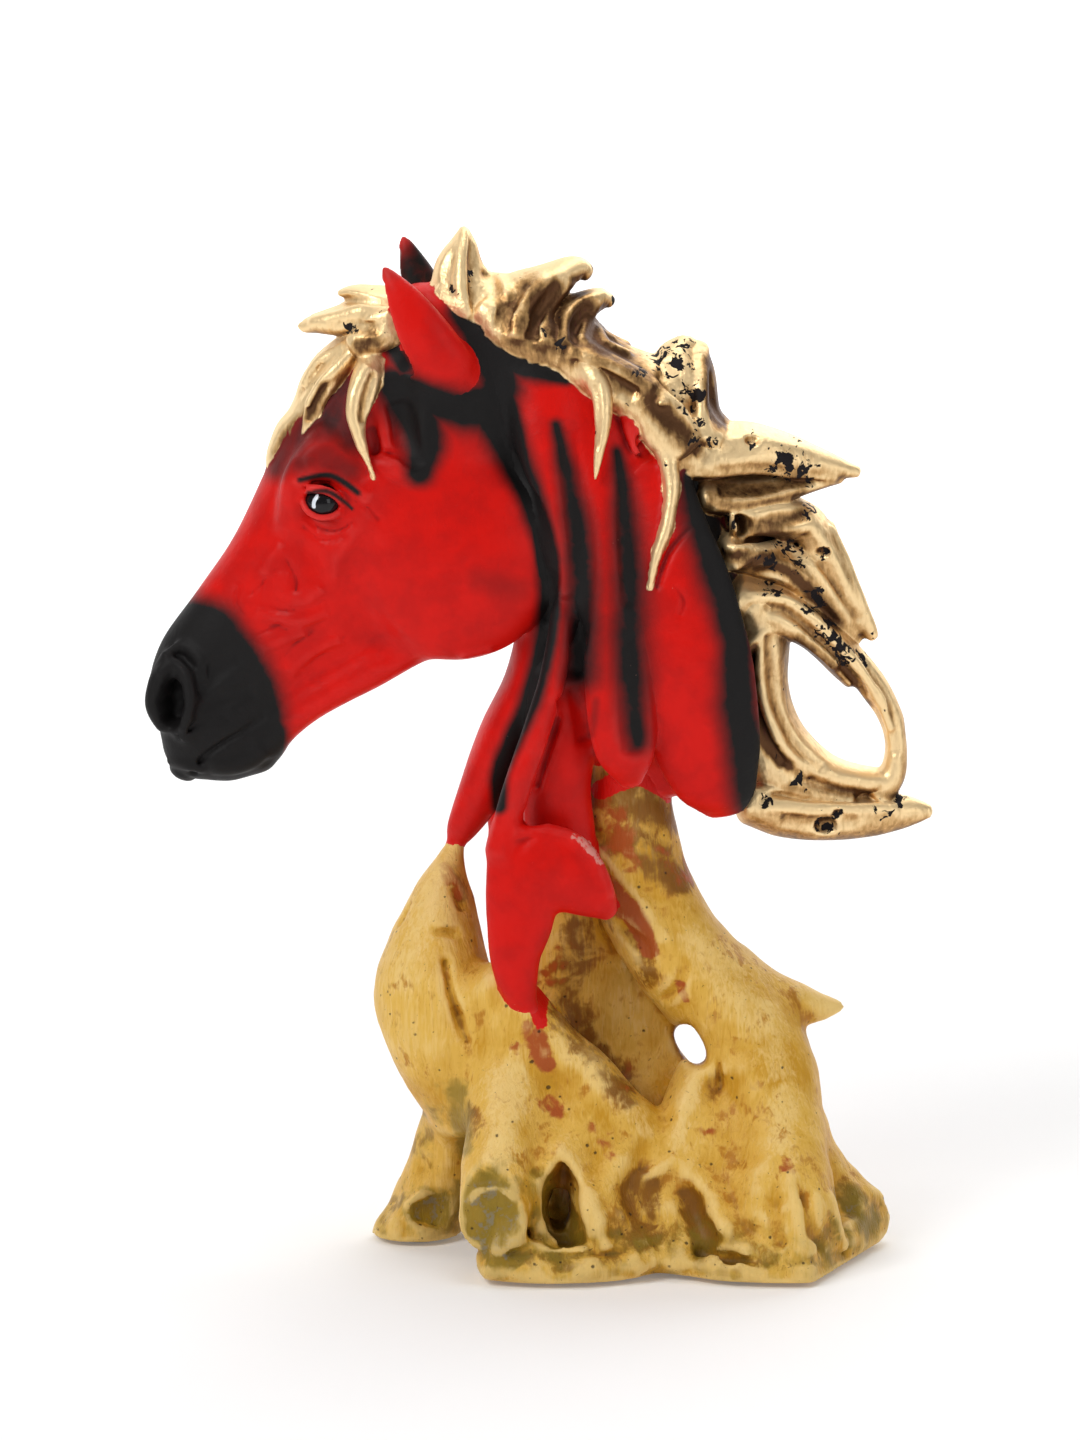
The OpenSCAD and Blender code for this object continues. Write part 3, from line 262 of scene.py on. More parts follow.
class Plane:
    # everything beyond the plane along its normal is cut away
    def __init__(self, point, normal, blend=0.6, around=400.0):
        self.point = np.array(point, float)
        self.normal = np.array(normal, float) / np.linalg.norm(normal)
        self.blend = blend
        self.cut = True
        self.low = self.point - around
        self.high = self.point + around

    def dist(self, points):
        return -((points - self.point) @ self.normal)


clay = {}
families = dict(bust=3.0, gilt=1.0, wood=3.0)  # how softly the pieces of a family run into each other
# lumps left by hand modelling and casting: size, amount, seed and the height at which they have faded out
weathering = dict(
    bust=[(9.0, 0.16, 5, 600.0)], gilt=[(5.0, 0.22, 6, 600.0)],
    wood=[(13.0, 0.7, 7, 600.0), (4.5, 0.3, 8, 600.0), (7.0, 1.1, 9, 30.0), (3.4, 0.5, 10, 40.0)])


def press(piece, family, *bits):
    clay.setdefault(piece, dict(family=family, bits=[]))["bits"].extend(bits)


def pressPair(piece, family, bit):
    press(piece, family, bit)
    press(piece.replace("near", "far"), family, bit.flipped())


def spot(px, py, y):
    ray = pixelRays([(px, py)])[0]
    return viewEye + ray * ((y - viewEye[1]) / ray[1])


def drawn(rows):
    # rows drawn over the picture: pixel, depth, half width across the depth, half width in the picture
    return [tuple(spot(px, py, y)) + (wide, deep) for px, py, y, wide, deep in rows]


def bitReach(bit):
    return bit.blend + claySet["cutReach"] if bit.cut else claySet["reach"] + bit.blend * 0.5


def pieceDist(piece, points):
    value = np.full(len(points), claySet["empty"])
    low = points.min(0)
    high = points.max(0)
    for bit in clay[piece]["bits"]:
        reach = bitReach(bit)
        if np.any(bit.low - reach > high) or np.any(bit.high + reach < low):
            continue
        near = np.all((points > bit.low - reach) & (points < bit.high + reach), axis=1)
        picked = np.nonzero(near)[0]
        if not len(picked):
            continue
        part = bit.dist(points[picked])
        if bit.cut:
            value[picked] = softMax(value[picked], -part, bit.blend)
        else:
            value[picked] = softMin(value[picked], part, bit.blend)
    close = np.nonzero(np.abs(value) < claySet["reach"])[0]
    lifted = np.clip((points[close, 2] - claySet["footing"]) / claySet["footing"], 0, 1)
    for size, amount, seed, fadeOut in weathering[clay[piece]["family"]]:
        left = np.clip(2.0 - 2.0 * points[close, 2] / fadeOut, 0, 1)
        value[close] += amount * left * lifted * noiseAt(points[close], size, seed)
    return value


def familyDist(parts, family):
    total = None
    for piece, value in parts.items():
        if clay[piece]["family"] == family:
            total = value.copy() if total is None else softMin(total, value, families[family])
    return total


def wholeDist(parts):
    total = None
    for family in families:
        value = familyDist(parts, family)
        if value is not None:
            total = value if total is None else softMin(total, value, claySet["joint"])
    return total


def allParts(points, pieces=None):
    return {piece: pieceDist(piece, points) for piece in (pieces or clay)}


def landPixels(pixels, pieces):
    rays = pixelRays(pixels)
    travel = np.full(len(rays), viewSet["distance"] - landSet["lead"])
    for turn in range(landSet["steps"]):
        gap = wholeDist(allParts(viewEye + rays * travel[:, None], pieces))
        travel = travel + np.clip(gap * landSet["stride"], landSet["back"], landSet["ahead"])
    landed = viewEye + rays * travel[:, None]
    missed = np.abs(gap) > landSet["miss"]
    slope = []
    for axis in np.eye(3) * landSet["probe"]:
        ahead = wholeDist(allParts(landed + axis, pieces))
        behind = wholeDist(allParts(landed - axis, pieces))
        slope.append(ahead - behind)
    return landed, unitRows(np.stack(slope, axis=1)), missed


def carved(blend, *path, lift=0.0):
    # a line to cut: its path is pixel, half width and depth in mm
    return dict(path=path, blend=blend, cut=True, lift=lift)


def raised(blend, *path):
    # a line to lay on: its path is pixel, half width and height in mm
    return dict(path=path, blend=blend, cut=False, lift=0.0)


def landLines(onto, lines):
    # each line is laid on what the camera sees at its pixels
    pixels = [(p[0], p[1]) for line in lines for p in line["path"]]
    landed, normals, missed = landPixels(pixels, onto)
    strokes = []
    at = 0
    for line in lines:
        path = np.array(line["path"], float)
        n = len(path)
        keep = ~missed[at:at + n]
        faces = normals[at:at + n][keep]
        spots = landed[at:at + n][keep] + faces * line["lift"]
        widths = path[keep]
        at += n
        if len(spots) < 2:
            print("line left out near pixel", line["path"][0])
            continue
        rows = np.hstack((spots, widths[:, 3:4], widths[:, 2:3]))
        strokes.append(Stroke(rows, line["blend"], line["cut"], 4, 0.8, faces))
    return strokes


def pieceField(piece, points):
    parts = allParts(points)
    own = parts[piece]
    others = np.full(len(points), claySet["empty"])
    for other, value in parts.items():
        if other != piece:
            others = np.minimum(others, value)
    share = (own - others) * 0.5 - claySet["lap"]
    return np.maximum(wholeDist(parts), share)


def inChunks(piece, points):
    size = claySet["chunk"]
    return np.concatenate([pieceField(piece, points[i:i + size]) for i in range(0, len(points), size)])


def clayBox(piece):
    adds = [bit for bit in clay[piece]["bits"] if not bit.cut]
    low = np.min([bit.low for bit in adds], axis=0)
    high = np.max([bit.high for bit in adds], axis=0)
    return low - claySet["margin"], high + claySet["margin"]


def sampleField(piece, voxel):
    low, high = clayBox(piece)
    block = gridSet["block"]
    counts = np.ceil((high - low) / (voxel * block)).astype(int) + 1
    grids = [np.arange(c) for c in counts]
    cells = np.stack(np.meshgrid(*grids, indexing="ij"), axis=-1).reshape(-1, 3)
    # neighbouring blocks are worked on together, so that far bits of clay are passed over
    room = cells // gridSet["room"]
    cells = cells[np.lexsort((room[:, 2], room[:, 1], room[:, 0]))]
    coarse = inChunks(piece, low + (cells * block + (block - 1) / 2) * voxel)
    spread = np.empty(counts)
    spread[cells[:, 0], cells[:, 1], cells[:, 2]] = coarse
    near = np.abs(coarse) < voxel * block * gridSet["near"] + gridSet["slack"]
    values = np.repeat(np.repeat(np.repeat(spread, block, 0), block, 1), block, 2)
    inner = np.stack(np.meshgrid(*[np.arange(block)] * 3, indexing="ij"), axis=-1).reshape(-1, 3)
    fine = (cells[near][:, None, :] * block + inner[None]).reshape(-1, 3)
    values[fine[:, 0], fine[:, 1], fine[:, 2]] = inChunks(piece, low + fine * voxel)
    return values, low


def netSurface(values, low, voxel):
    inside = values < 0
    corners = np.array([(i, j, k) for i in (0, 1) for j in (0, 1) for k in (0, 1)])
    span = [n - 1 for n in values.shape]
    count = np.zeros(span, np.int8)
    for i, j, k in corners:
        count += inside[i:i + span[0], j:j + span[1], k:k + span[2]]
    active = (count > 0) & (count < 8)
    cells = np.argwhere(active)
    index = np.full(active.shape, -1)
    index[active] = np.arange(len(cells))
    edge = [values[cells[:, 0] + i, cells[:, 1] + j, cells[:, 2] + k] for i, j, k in corners]
    total = np.zeros((len(cells), 3))
    hits = np.zeros(len(cells))
    for a in range(8):
        for b in range(a + 1, 8):
            if np.abs(corners[a] - corners[b]).sum() != 1:
                continue
            crossing = (edge[a] < 0) != (edge[b] < 0)
            t = edge[a][crossing] / (edge[a][crossing] - edge[b][crossing])
            total[crossing] += corners[a] + t[:, None] * (corners[b] - corners[a])
            hits[crossing] += 1
    verts = low + (cells + total / hits[:, None]) * voxel
    quads = []
    for axis in range(3):
        u = (axis + 1) % 3
        v = (axis + 2) % 3
        here = np.moveaxis(inside, (axis, u, v), (0, 1, 2))
        change = here[:-1, 1:-1, 1:-1] != here[1:, 1:-1, 1:-1]
        spots = np.argwhere(change)
        outward = here[:-1, 1:-1, 1:-1][change]
        rows = []
        for du, dv in ((0, 0), (1, 0), (1, 1), (0, 1)):
            cell = np.zeros((len(spots), 3), int)
            cell[:, axis] = spots[:, 0]
            cell[:, u] = spots[:, 1] + du
            cell[:, v] = spots[:, 2] + dv
            rows.append(index[cell[:, 0], cell[:, 1], cell[:, 2]])
        quad = np.stack(rows, axis=1)
        quad[~outward] = quad[~outward][:, ::-1]
        quads.append(quad)
    return verts, np.vstack(quads)


def meshEdges(quads):
    pairs = np.vstack((quads[:, (0, 1)], quads[:, (1, 2)], quads[:, (2, 3)], quads[:, (3, 0)]))
    pairs = np.sort(pairs, axis=1)
    most = quads.max() + 1
    code = np.unique(pairs[:, 0].astype(np.int64) * most + pairs[:, 1])
    return code // most, code % most


def keepLargest(verts, quads):
    a, b = meshEdges(quads)
    label = np.arange(len(verts))
    while True:
        low = np.minimum(label[a], label[b])
        fresh = label.copy()
        np.minimum.at(fresh, a, low)
        np.minimum.at(fresh, b, low)
        fresh = fresh[fresh]
        if np.array_equal(fresh, label):
            break
        label = fresh
    names, sizes = np.unique(label, return_counts=True)
    keep = label == names[np.argmax(sizes)]
    renumber = np.cumsum(keep) - 1
    return verts[keep], renumber[quads[keep[quads[:, 0]]]]


def neighbourMean(values, a, b, degree):
    out = np.empty_like(values)
    for i in range(values.shape[1]):
        out[:, i] = np.bincount(a, values[b, i], len(values)) + np.bincount(b, values[a, i], len(values))
    return out / degree[:, None]


def vertexNormals(verts, quads):
    face = np.cross(verts[quads[:, 2]] - verts[quads[:, 0]], verts[quads[:, 3]] - verts[quads[:, 1]])
    normal = np.zeros_like(verts)
    for corner in range(4):
        for i in range(3):
            normal[:, i] += np.bincount(quads[:, corner], face[:, i], len(verts))
    return unitRows(normal)


def skin(piece, voxel):
    values, low = sampleField(piece, voxel)
    verts, quads = keepLargest(*netSurface(values, low, voxel))
    a, b = meshEdges(quads)
    degree = np.bincount(a, minlength=len(verts)) + np.bincount(b, minlength=len(verts))
    for pull in smoothPulls:
        verts = verts + (neighbourMean(verts, a, b, degree) - verts) * pull
    normal = vertexNormals(verts, quads)
    soft = verts
    hollow = {}
    for turn in range(max(hollowTurns.values())):
        soft = neighbourMean(soft, a, b, degree)
        for label, turns in hollowTurns.items():
            if turn + 1 == turns:
                hollow[label] = np.sum((soft - verts) * normal, axis=1)
    return dict(verts=verts, quads=quads, normal=normal, fine=hollow["fine"], broad=hollow["broad"])


# driftwood base: a trunk, a pointed stump, roots and sawn legs run together
# each row is x, y, z, half y, half depth
baseSet = dict(floor=1.2, holeNear=-60.0, holeFar=60.0)
trunkRows = [
    (23, 0, 128, 11, 10), (23, 0, 112, 12, 11.5), (25.5, -1, 96, 13, 12.5), (32.5, -2, 81.6, 14, 13),
    (45, -3, 67, 15, 13.5), (54.5, -4, 53, 16, 14), (57, -5, 38, 17, 15), (57, -6, 21, 19, 17),
    (56, -7, -4, 22, 20)
]
stumpRows = [
    (-21.3, 0, 105, 2, 1.6), (-23.4, 0, 98, 6.5, 4.6), (-25, 0, 88, 12, 9.4), (-26.5, 0, 76, 16.8, 14),
    (-26.5, 0, 65, 18.4, 16), (-23, 0, 52, 18.4, 14.4), (-16, 0, 38, 16, 13)
]
frontLegRows = [
    (-20, 5, 52, 13, 11), (-20, 8, 38, 11, 9.5), (-22, 9, 26, 11, 9.5), (-27, 8, 12, 11, 10),
    (-33, 6, -2, 11, 11)
]
backWallRows = [
    (6, 8, 92, 4, 7), (12, 10, 74, 6, 14), (15, 10, 56, 8, 18), (17, 9, 38, 10, 20), (20, 7, 19, 14, 26),
    (22, 4, -4, 22, 38)
]
farFrontRows = [(-4, 9, 52, 11, 12), (-6, 23, 28, 10, 10), (-7, 29, 9, 11, 12), (-7, 31, -4, 12, 15)]
farRearRows = [(50, 8, 43, 13, 12), (53, 22, 23, 11, 12), (54, 29, 7, 11, 14), (54, 31, -4, 12, 17)]
spurRows = [
    (50, 1, 69.4, 9, 8.2), (61, 1, 65.2, 7, 6), (70, 1, 62.6, 4.8, 4.6), (75, 1, 62.3, 3.2, 3.2),
    (78, 1, 62.6, 1.9, 1.8)]
# from here on the rows are drawn over the picture: pixel, y, half y, half depth
holeWallRows = [
    (600, 905, 9, 5, 7), (628, 960, 10, 6, 11), (655, 1015, 10, 7, 13), (672, 1075, 8, 9, 15),
    (662, 1135, 2, 12, 18)]
logRows = [
    (508, 1030, -4, 13, 13), (507, 1085, -16, 12, 10.4), (503, 1135, -26, 10.5, 9.6),
    (497, 1180, -34, 9.6, 9.3), (493, 1228, -43, 9, 8.8)
]
ridgeRows = [
    (490, 985, -14, 7, 9), (540, 1038, -17, 8, 8), (588, 1075, -18, 7, 6.5), (630, 1124, -18, 8, 7),
    (668, 1150, -15, 8, 6)]
archRows = [
    (560, 1130, -18, 9, 8), (558, 1165, -26, 9, 9), (556, 1205, -31, 9, 13.5), (556, 1245, -33, 10, 17),
    (556, 1275, -33, 10, 19)]
middleRootRows = [
    (632, 1122, -16, 8, 7.5), (613, 1165, -22, 9, 5.6), (602, 1200, -27, 9, 6), (610, 1240, -30, 9, 8),
    (612, 1275, -30, 9, 10)]
bowlRimRows = [
    (705, 1068, -9, 8, 5), (688, 1102, -14, 8, 5), (677, 1135, -17, 8, 5), (661, 1155, -18, 8, 6)]
lowRidgeRows = [
    (661, 1157, -17, 8, 5), (688, 1168, -20, 8, 4.6), (704, 1196, -25, 8, 4.6), (724, 1228, -30, 8, 6),
    (746, 1252, -33, 9, 8)]
footRows = [
    (752, 1085, -10, 13, 15), (766, 1140, -17, 13, 14.5), (780, 1190, -25, 13, 14),
    (790, 1235, -31, 12, 14), (792, 1275, -32, 13, 15)]
rearFootRows = [
    (792, 1130, -2, 13, 8.6), (814, 1170, -2, 12, 8.4), (837, 1203, -4, 11, 8.8), (866, 1229, -6, 10, 9)]
# walls behind the openings
fillRows = [
    [(716, 1075, -6, 10, 10), (716, 1130, -13, 11, 14), (710, 1185, -19, 11, 15), (700, 1245, -23, 12, 17)],
    [(642, 1150, -13, 10, 10), (640, 1200, -19, 11, 13), (640, 1255, -23, 12, 15)],
    [(520, 1095, -15, 11, 12), (528, 1150, -22, 10, 10), (530, 1235, -28, 9, 9)],
    [(570, 1095, -14, 10, 11), (588, 1140, -19, 10, 10), (580, 1200, -20, 9, 12), (565, 1250, -22, 9, 14)],
]
rimRows = [
    (492, 1262, -36, 8, 5), (545, 1268, -36, 10, 6), (608, 1262, -33, 11, 6), (650, 1250, -27, 10, 6),
    (700, 1255, -30, 11, 6), (745, 1262, -33, 12, 7), (815, 1262, -30, 12, 8), (850, 1245, -16, 11, 7)
]
archCutRows = [
    (566, 1160, -34, 9, 1.2), (563, 1185, -36, 10, 4.2), (559, 1212, -38, 11, 7), (556, 1238, -40, 11, 8.4)]
drainCutRows = [(560, 1188, -20, 14, 2.2), (559, 1205, -20, 14, 3.2), (558, 1220, -20, 14, 2.8)]
dripRows = [
    (534, 1180, -36, 2.4, 2.6), (536, 1208, -36, 1.8, 2), (541, 1232, -37, 2.2, 2.6),
    (545, 1245, -37, 3, 4)]
bowlCutRows = [(718, 1086, -23, 4.5, 4.6), (716, 1122, -28.6, 5, 8.4), (722, 1158, -32.4, 5, 8.4)]
underRidgeCutRows = [(680, 1188, -31, 5, 3.4), (692, 1216, -36.4, 6, 4.8), (704, 1240, -39.4, 6, 5)]
# the knot hole goes right through: pixel, half width
knotSpots = ((685, 1034, 2.6), (692, 1046, 3.0), (697, 1056, 2.2))
logSaw = dict(at=(491, 1222, -43), facing=(-0.28, -0.95, 0.12), blend=0.7)
footSaw = dict(at=(876, 1228, -6), facing=(0.9, -0.42, 0.1), blend=0.8)
legHollow = dict(at=(430, 1212), radii=(5.6, 2.6, 4.2))
rodHole = [(25, 0, 60, 3.2, 3.2), (25, 0, 160, 3.2, 3.2)]


def shapeBase():
    name = "driftwood_base"
    for rows, blend in (
            (trunkRows, 4), (stumpRows, 6), (backWallRows, 7), (frontLegRows, 5), (farFrontRows, 5),
            (farRearRows, 5), (spurRows, 4)):
        press(name, "wood", Stroke(rows, blend))
    for rows, blend in (
            (holeWallRows, 5), (ridgeRows, 6), (logRows, 9), (archRows, 3), (middleRootRows, 3),
            (bowlRimRows, 4), (footRows, 7), (lowRidgeRows, 2.5), (rearFootRows, 4), (rimRows, 3),
            *[(rows, 4) for rows in fillRows]):
        press(name, "wood", Stroke(drawn(rows), blend))
    near = baseSet["holeNear"]
    far = baseSet["holeFar"]
    for px, py, half in knotSpots:
        press(name, "wood", Stroke([tuple(spot(px, py, y)) + (half, half) for y in (near, far)], 2.2, True))
    press(name, "wood", Stroke(drawn(archCutRows), 1.6, True, tip=0.3))
    press(name, "wood", Stroke(drawn(drainCutRows), 1.4, True))
    press(name, "wood", Stroke(drawn(dripRows), 2.0))
    press(name, "wood", Stroke(drawn(bowlCutRows), 5.0, True))
    press(name, "wood", Stroke(drawn(underRidgeCutRows), 3.0, True))
    for saw in (logSaw, footSaw):
        press(name, "wood", Plane(spot(*saw["at"]), saw["facing"], saw["blend"]))


def detailBase():
    name = "driftwood_base"
    cuts = [
        carved(0.7, (446, 962, 0.9, 1.6), (450, 990, 1.1, 2.4), (458, 1018, 1.2, 2.4),
            (466, 1042, 0.8, 1.4)),
        carved(0.8, (436, 931, 0.8, 0.8), (456, 932, 1.0, 1.2), (482, 930, 0.8, 0.8)),
        carved(1.5, (482, 922, 1.4, 1.4), (462, 905, 1.8, 1.6), (452, 885, 1.4, 1.0)),
        carved(0.7, (398, 925, 0.7, 0.9), (405, 912, 0.8, 1.2), (412, 900, 0.6, 0.8)),
        carved(1.0, (664, 1000, 1.0, 0.8), (678, 985, 1.4, 1.2), (684, 970, 1.0, 0.8)),
        carved(1.0, (618, 925, 1.6, 0.8), (640, 945, 2.2, 1.1), (648, 962, 1.4, 0.7)),
        carved(0.7, (718, 1062, 0.8, 1.2), (720, 1080, 1.0, 1.8), (718, 1092, 0.7, 1.0)),
        carved(0.8, (484, 1250, 1.0, 0.9), (540, 1256, 1.2, 1.1), (600, 1254, 1.0, 0.9),
            (650, 1246, 1.0, 0.9)),
        carved(0.8, (700, 1252, 1.0, 0.9), (752, 1262, 1.2, 1.2), (810, 1262, 1.0, 1.0),
            (846, 1250, 0.8, 0.8)),
        carved(1.2, (806, 1195, 1.6, 1.2), (812, 1220, 2.0, 1.6), (822, 1248, 1.6, 1.2)),
        carved(1.2, (776, 1185, 1.2, 0.9), (774, 1210, 1.6, 1.2), (780, 1242, 1.2, 0.9)),
    ]
    ridges = [
        raised(2.0, (790, 1175, 1.2, 1.0), (797, 1210, 1.6, 1.4), (802, 1250, 2.0, 1.4)),
        raised(2.0, (828, 1195, 1.0, 0.9), (836, 1220, 1.4, 1.2), (843, 1248, 1.6, 1.2)),
        raised(2.0, (592, 838, 0.8, 0.8), (610, 862, 1.0, 1.2), (640, 900, 1.4, 1.4), (662, 940, 1.6, 1.0)),
        raised(1.0, (470, 1205, 0.8, 0.7), (478, 1192, 0.9, 0.9), (495, 1188, 0.9, 0.9),
            (512, 1196, 0.8, 0.8)),
        raised(1.0, (408, 1206, 0.8, 0.8), (424, 1195, 0.9, 0.9), (442, 1200, 0.9, 0.9),
            (452, 1214, 0.8, 0.8)),
        raised(1.5, (640, 1180, 1.0, 0.9), (660, 1170, 1.2, 1.2), (672, 1160, 1.0, 0.8)),
        raised(2.0, (560, 1150, 1.4, 1.0), (580, 1180, 1.6, 1.2), (596, 1215, 1.6, 1.2),
            (604, 1245, 1.4, 1.0)),
    ]
    press(name, "wood", *landLines([name], cuts + ridges))
    landed, faces, missed = landPixels([legHollow["at"]], [name])
    press(name, "wood", Ball(landed[0], legHollow["radii"], 0.8, True))
    press(name, "wood", Plane((0, 0, baseSet["floor"]), (0, 0, -1), 0.5))
    press(name, "wood", Stroke(rodHole, 0.3, True))


# the bust: neck core, hanging folds, head and ears
headSet = dict(
    poll=(-28.0, 0.0, 243.0), pitch=28.0, eyeAlong=53.8, eyeUp=1.2, eyeSide=17.1, eyeRadius=4.5, eyeGap=0.12)
headTilt = math.radians(headSet["pitch"])
headAxis = np.array((-math.sin(headTilt), 0.0, -math.cos(headTilt)))
noseUp = np.array((-math.cos(headTilt), 0.0, math.sin(headTilt)))


def onHead(along, up, side):
    return np.array(headSet["poll"]) + headAxis * along + noseUp * up + np.array((0.0, side, 0.0))


headRows = [
    (0, 8, -32, 12.6), (16, 15, -42, 16.8), (36, 18, -46, 19), (56, 17, -46, 19), (75, 16.3, -41, 16.2),
    (91, 18.1, -31, 13.4), (107, 20, -21.5, 11.6), (119, 17.5, -20, 12), (127, 10.5, -16, 10.8),
    (131.5, 6.5, -10.5, 8.5), (134.2, 3.6, -4, 5.5)
]
neckRows = [
    (-14, 0, 238, 12.1, 13), (2, 0, 222, 16.1, 20), (16, 0, 198, 18.5, 26), (24, 0, 170, 20, 29),
    (26, 0, 146, 20.5, 28), (28, 0, 136, 17, 22), (30, 0, 128, 11, 14), (30, 0, 121, 8, 10)
]
# the wall behind the flap ribbon, drawn over the picture
webRows = [
    (566, 680, -9, 8, 9), (562, 735, -10, 8, 9), (558, 785, -10.5, 7.5, 8.5), (560, 835, -10, 6, 9),
    (572, 880, -8, 5, 8)]
frontRibbonRows = [
    (1, 0, 162, 12.3, 6.3), (-2.8, 0, 147, 11.4, 6.3), (-9.4, 0, 133, 9.7, 6.3), (-15, 0, 118.5, 7, 5.8),
    (-19.8, 0, 109.2, 4, 3.9), (-21.5, 0, 105.5, 2, 2)
]
# drawn over the picture: pixel, y, half y, half depth
flapRibbonRows = [
    (566, 590, -16, 2.4, 3.2), (560, 640, -19.5, 2.8, 3.2), (551, 685, -21.5, 3.2, 3.4),
    (536, 732, -22.5, 3.6, 3.6), (520, 778, -23, 3.8, 3.6), (508, 818, -23, 3.8, 3.5),
    (501, 850, -22.5, 3.8, 3.5)
]
flapRows = [
    (508, 825, -20, 3, 4), (515, 850, -22, 4, 7.2), (521, 885, -23, 4.4, 9), (520, 920, -23, 4.4, 8.6),
    (515, 955, -23, 4.2, 6.6), (518, 985, -22.4, 3.4, 5), (527, 1008, -21.4, 2.2, 2.8),
    (533, 1022, -20.8, 0.9, 1)
]
lobeRows = [
    (533, 850, -22, 4, 8), (556, 866, -23, 4.2, 10), (580, 885, -23, 4, 8.6), (599, 902, -22.4, 3.2, 5.2),
    (610, 914, -21.6, 1.6, 2.2)]
tongueRows = [
    (594, 440, -13.5, 3, 5), (601, 500, -17.5, 3.6, 6), (606, 560, -20, 4, 7), (610, 620, -21.8, 4.4, 7.6),
    (617, 680, -23, 4.8, 8.2), (622, 725, -23.2, 5, 8.4), (627, 758, -22.6, 4.4, 7), (631, 782, -21.4, 2, 3)
]
shoulderRows = [
    (655, 470, -14, 3.6, 8), (665, 530, -17.5, 4.2, 11), (678, 590, -19.5, 4.6, 13.5),
    (692, 660, -20, 5, 15), (702, 720, -18.5, 5, 14.5), (712, 765, -16.5, 4.4, 12.5),
    (722, 795, -14.5, 3.6, 9), (726, 812, -13, 1.6, 5)
]
ridgeOneRows = [
    (540, 385, -11, 4, 6), (543, 430, -15, 4, 6.5), (552, 475, -17.5, 4, 6.5), (562, 530, -19, 3.6, 5.5),
    (568, 590, -19.5, 3, 4)]
spindleRows = [(626, 412, -15.5, 1.6, 1.6), (631, 430, -16.6, 1.9, 1.8), (637, 452, -17.6, 1.2, 1.2)]
earPaths = dict(
    near_ear=[
        (384, 268, -17, 0.5, 0.6), (390, 278, -17.2, 1.8, 2.2), (402, 300, -17.6, 3.2, 4.8),
        (416, 325, -17.4, 4.2, 6.6), (431, 349, -16.6, 4.6, 7.6), (446, 372, -14.6, 4.8, 7.9),
        (460, 392, -10, 4.2, 6)],
    far_ear=[
        (403, 237, 17, 0.5, 0.6), (406, 246, 17.2, 1.8, 2.1), (412, 266, 17.6, 3.2, 4.2),
        (420, 288, 17.4, 4.2, 5.6), (430, 312, 16.6, 4.6, 6.4), (444, 338, 14.6, 4.8, 7),
        (460, 365, 10, 4.2, 6)])


# on the head: place along the face, up from its axis, out to the side, half width, half depth
jawRows = [(72, -38, 9, 5, 6), (88, -29, 8, 4.5, 5), (103, -20, 7, 4, 4.5), (116, -15, 5, 4, 4.5)]
browRows = [(40, 7, 14.5, 3, 4), (46, 9, 15.8, 3.8, 4), (54, 9, 15.6, 3.6, 3.6), (63, 5.5, 13.8, 2, 2.6)]
cheekBoneRows = [(44, -7.5, 17, 2.5, 3), (56, -9.5, 17, 2.8, 3), (70, -8, 15, 2.4, 3), (84, -6, 12.5, 2, 3)]
nostrilWingRows = [
    (109, 16, 8.6, 3, 3), (115, 16.4, 9.4, 2.8, 2.4), (121, 14.6, 9.4, 2.4, 2.0),
    (124.4, 9.8, 8.6, 2.2, 2.0)]
outerWingRows = [(110, 11, 11, 2, 2.4), (116, 6, 11.8, 2.2, 2.6), (124, 4.5, 11, 2.2, 2.6)]
chinRows = [(112, -13, 0, 7, 6), (122, -13, 0, 7.4, 6.4)]
lowerLipRows = [(122, -9.5, 0, 7.6, 3.6), (128.6, -9, 0, 6.6, 3.2)]
upperLipRows = [(123, 3, 0, 9, 6), (129.2, 1.8, 0, 7, 4.6)]
jawGapRows = [(66, -48, 0, 4, 5), (88, -36, 0, 3.6, 4), (104, -26, 0, 3, 3)]
jowl = dict(along=52, up=-36, out=12.5, radii=(25, 9, 25))
templeHollow = dict(along=28, up=-4, out=18.5, radii=(9, 3.4, 6))
nostrilSwell = dict(along=119, up=10, out=6.4, radii=(6.2, 4.2, 6.6))


def headPath(side, rows):
    return [tuple(onHead(along, up, side * out)) + (wide, deep) for along, up, out, wide, deep in rows]


def headBall(side, form, blend, cut=False):
    centre = onHead(form["along"], form["up"], side * form["out"])
    return Ball(centre, form["radii"], blend, cut, (headAxis, (0, 1, 0), noseUp))


def shapeHead():
    name = "head"
    press(name, "bust", Loft(headSet["poll"], headAxis, noseUp, headRows, 3.0, 0.14))
    for side in (-1, 1):
        press(name, "bust", headBall(side, jowl, 5.0))
        for rows, blend in ((jawRows, 4.0), (browRows, 4.0), (cheekBoneRows, 3.5)):
            press(name, "bust", Stroke(headPath(side, rows), blend))
        press(name, "bust", headBall(side, templeHollow, 4.0, True))
        press(name, "bust", Stroke(headPath(side, nostrilWingRows), 2.5))
        press(name, "bust", headBall(side, nostrilSwell, 3.0))
        press(name, "bust", Stroke(headPath(side, outerWingRows), 2.5))
    for rows, blend in ((chinRows, 3.0), (lowerLipRows, 2.0), (upperLipRows, 2.5)):
        press(name, "bust", Stroke(headPath(0, rows), blend))
    press(name, "bust", Stroke(headPath(0, jawGapRows), 4.0, True))


# from the middle of the eye: x, how far out, z
lidSet = dict(
    upper=dict(thick=1.15, path=[
        (-5.4, -0.2, 2.6), (-2.8, -3.4, 3.7), (0.3, -3.9, 3.6), (3.2, -3.1, 2.2), (6.2, -0.2, -1.2)]),
    lower=dict(thick=0.85, path=[
        (-5.4, -0.2, 2.4), (-4.2, -2.6, -1.2), (-1.2, -3.5, -3.3), (2.6, -3.1, -3.2), (6.2, -0.2, -1.2)]))


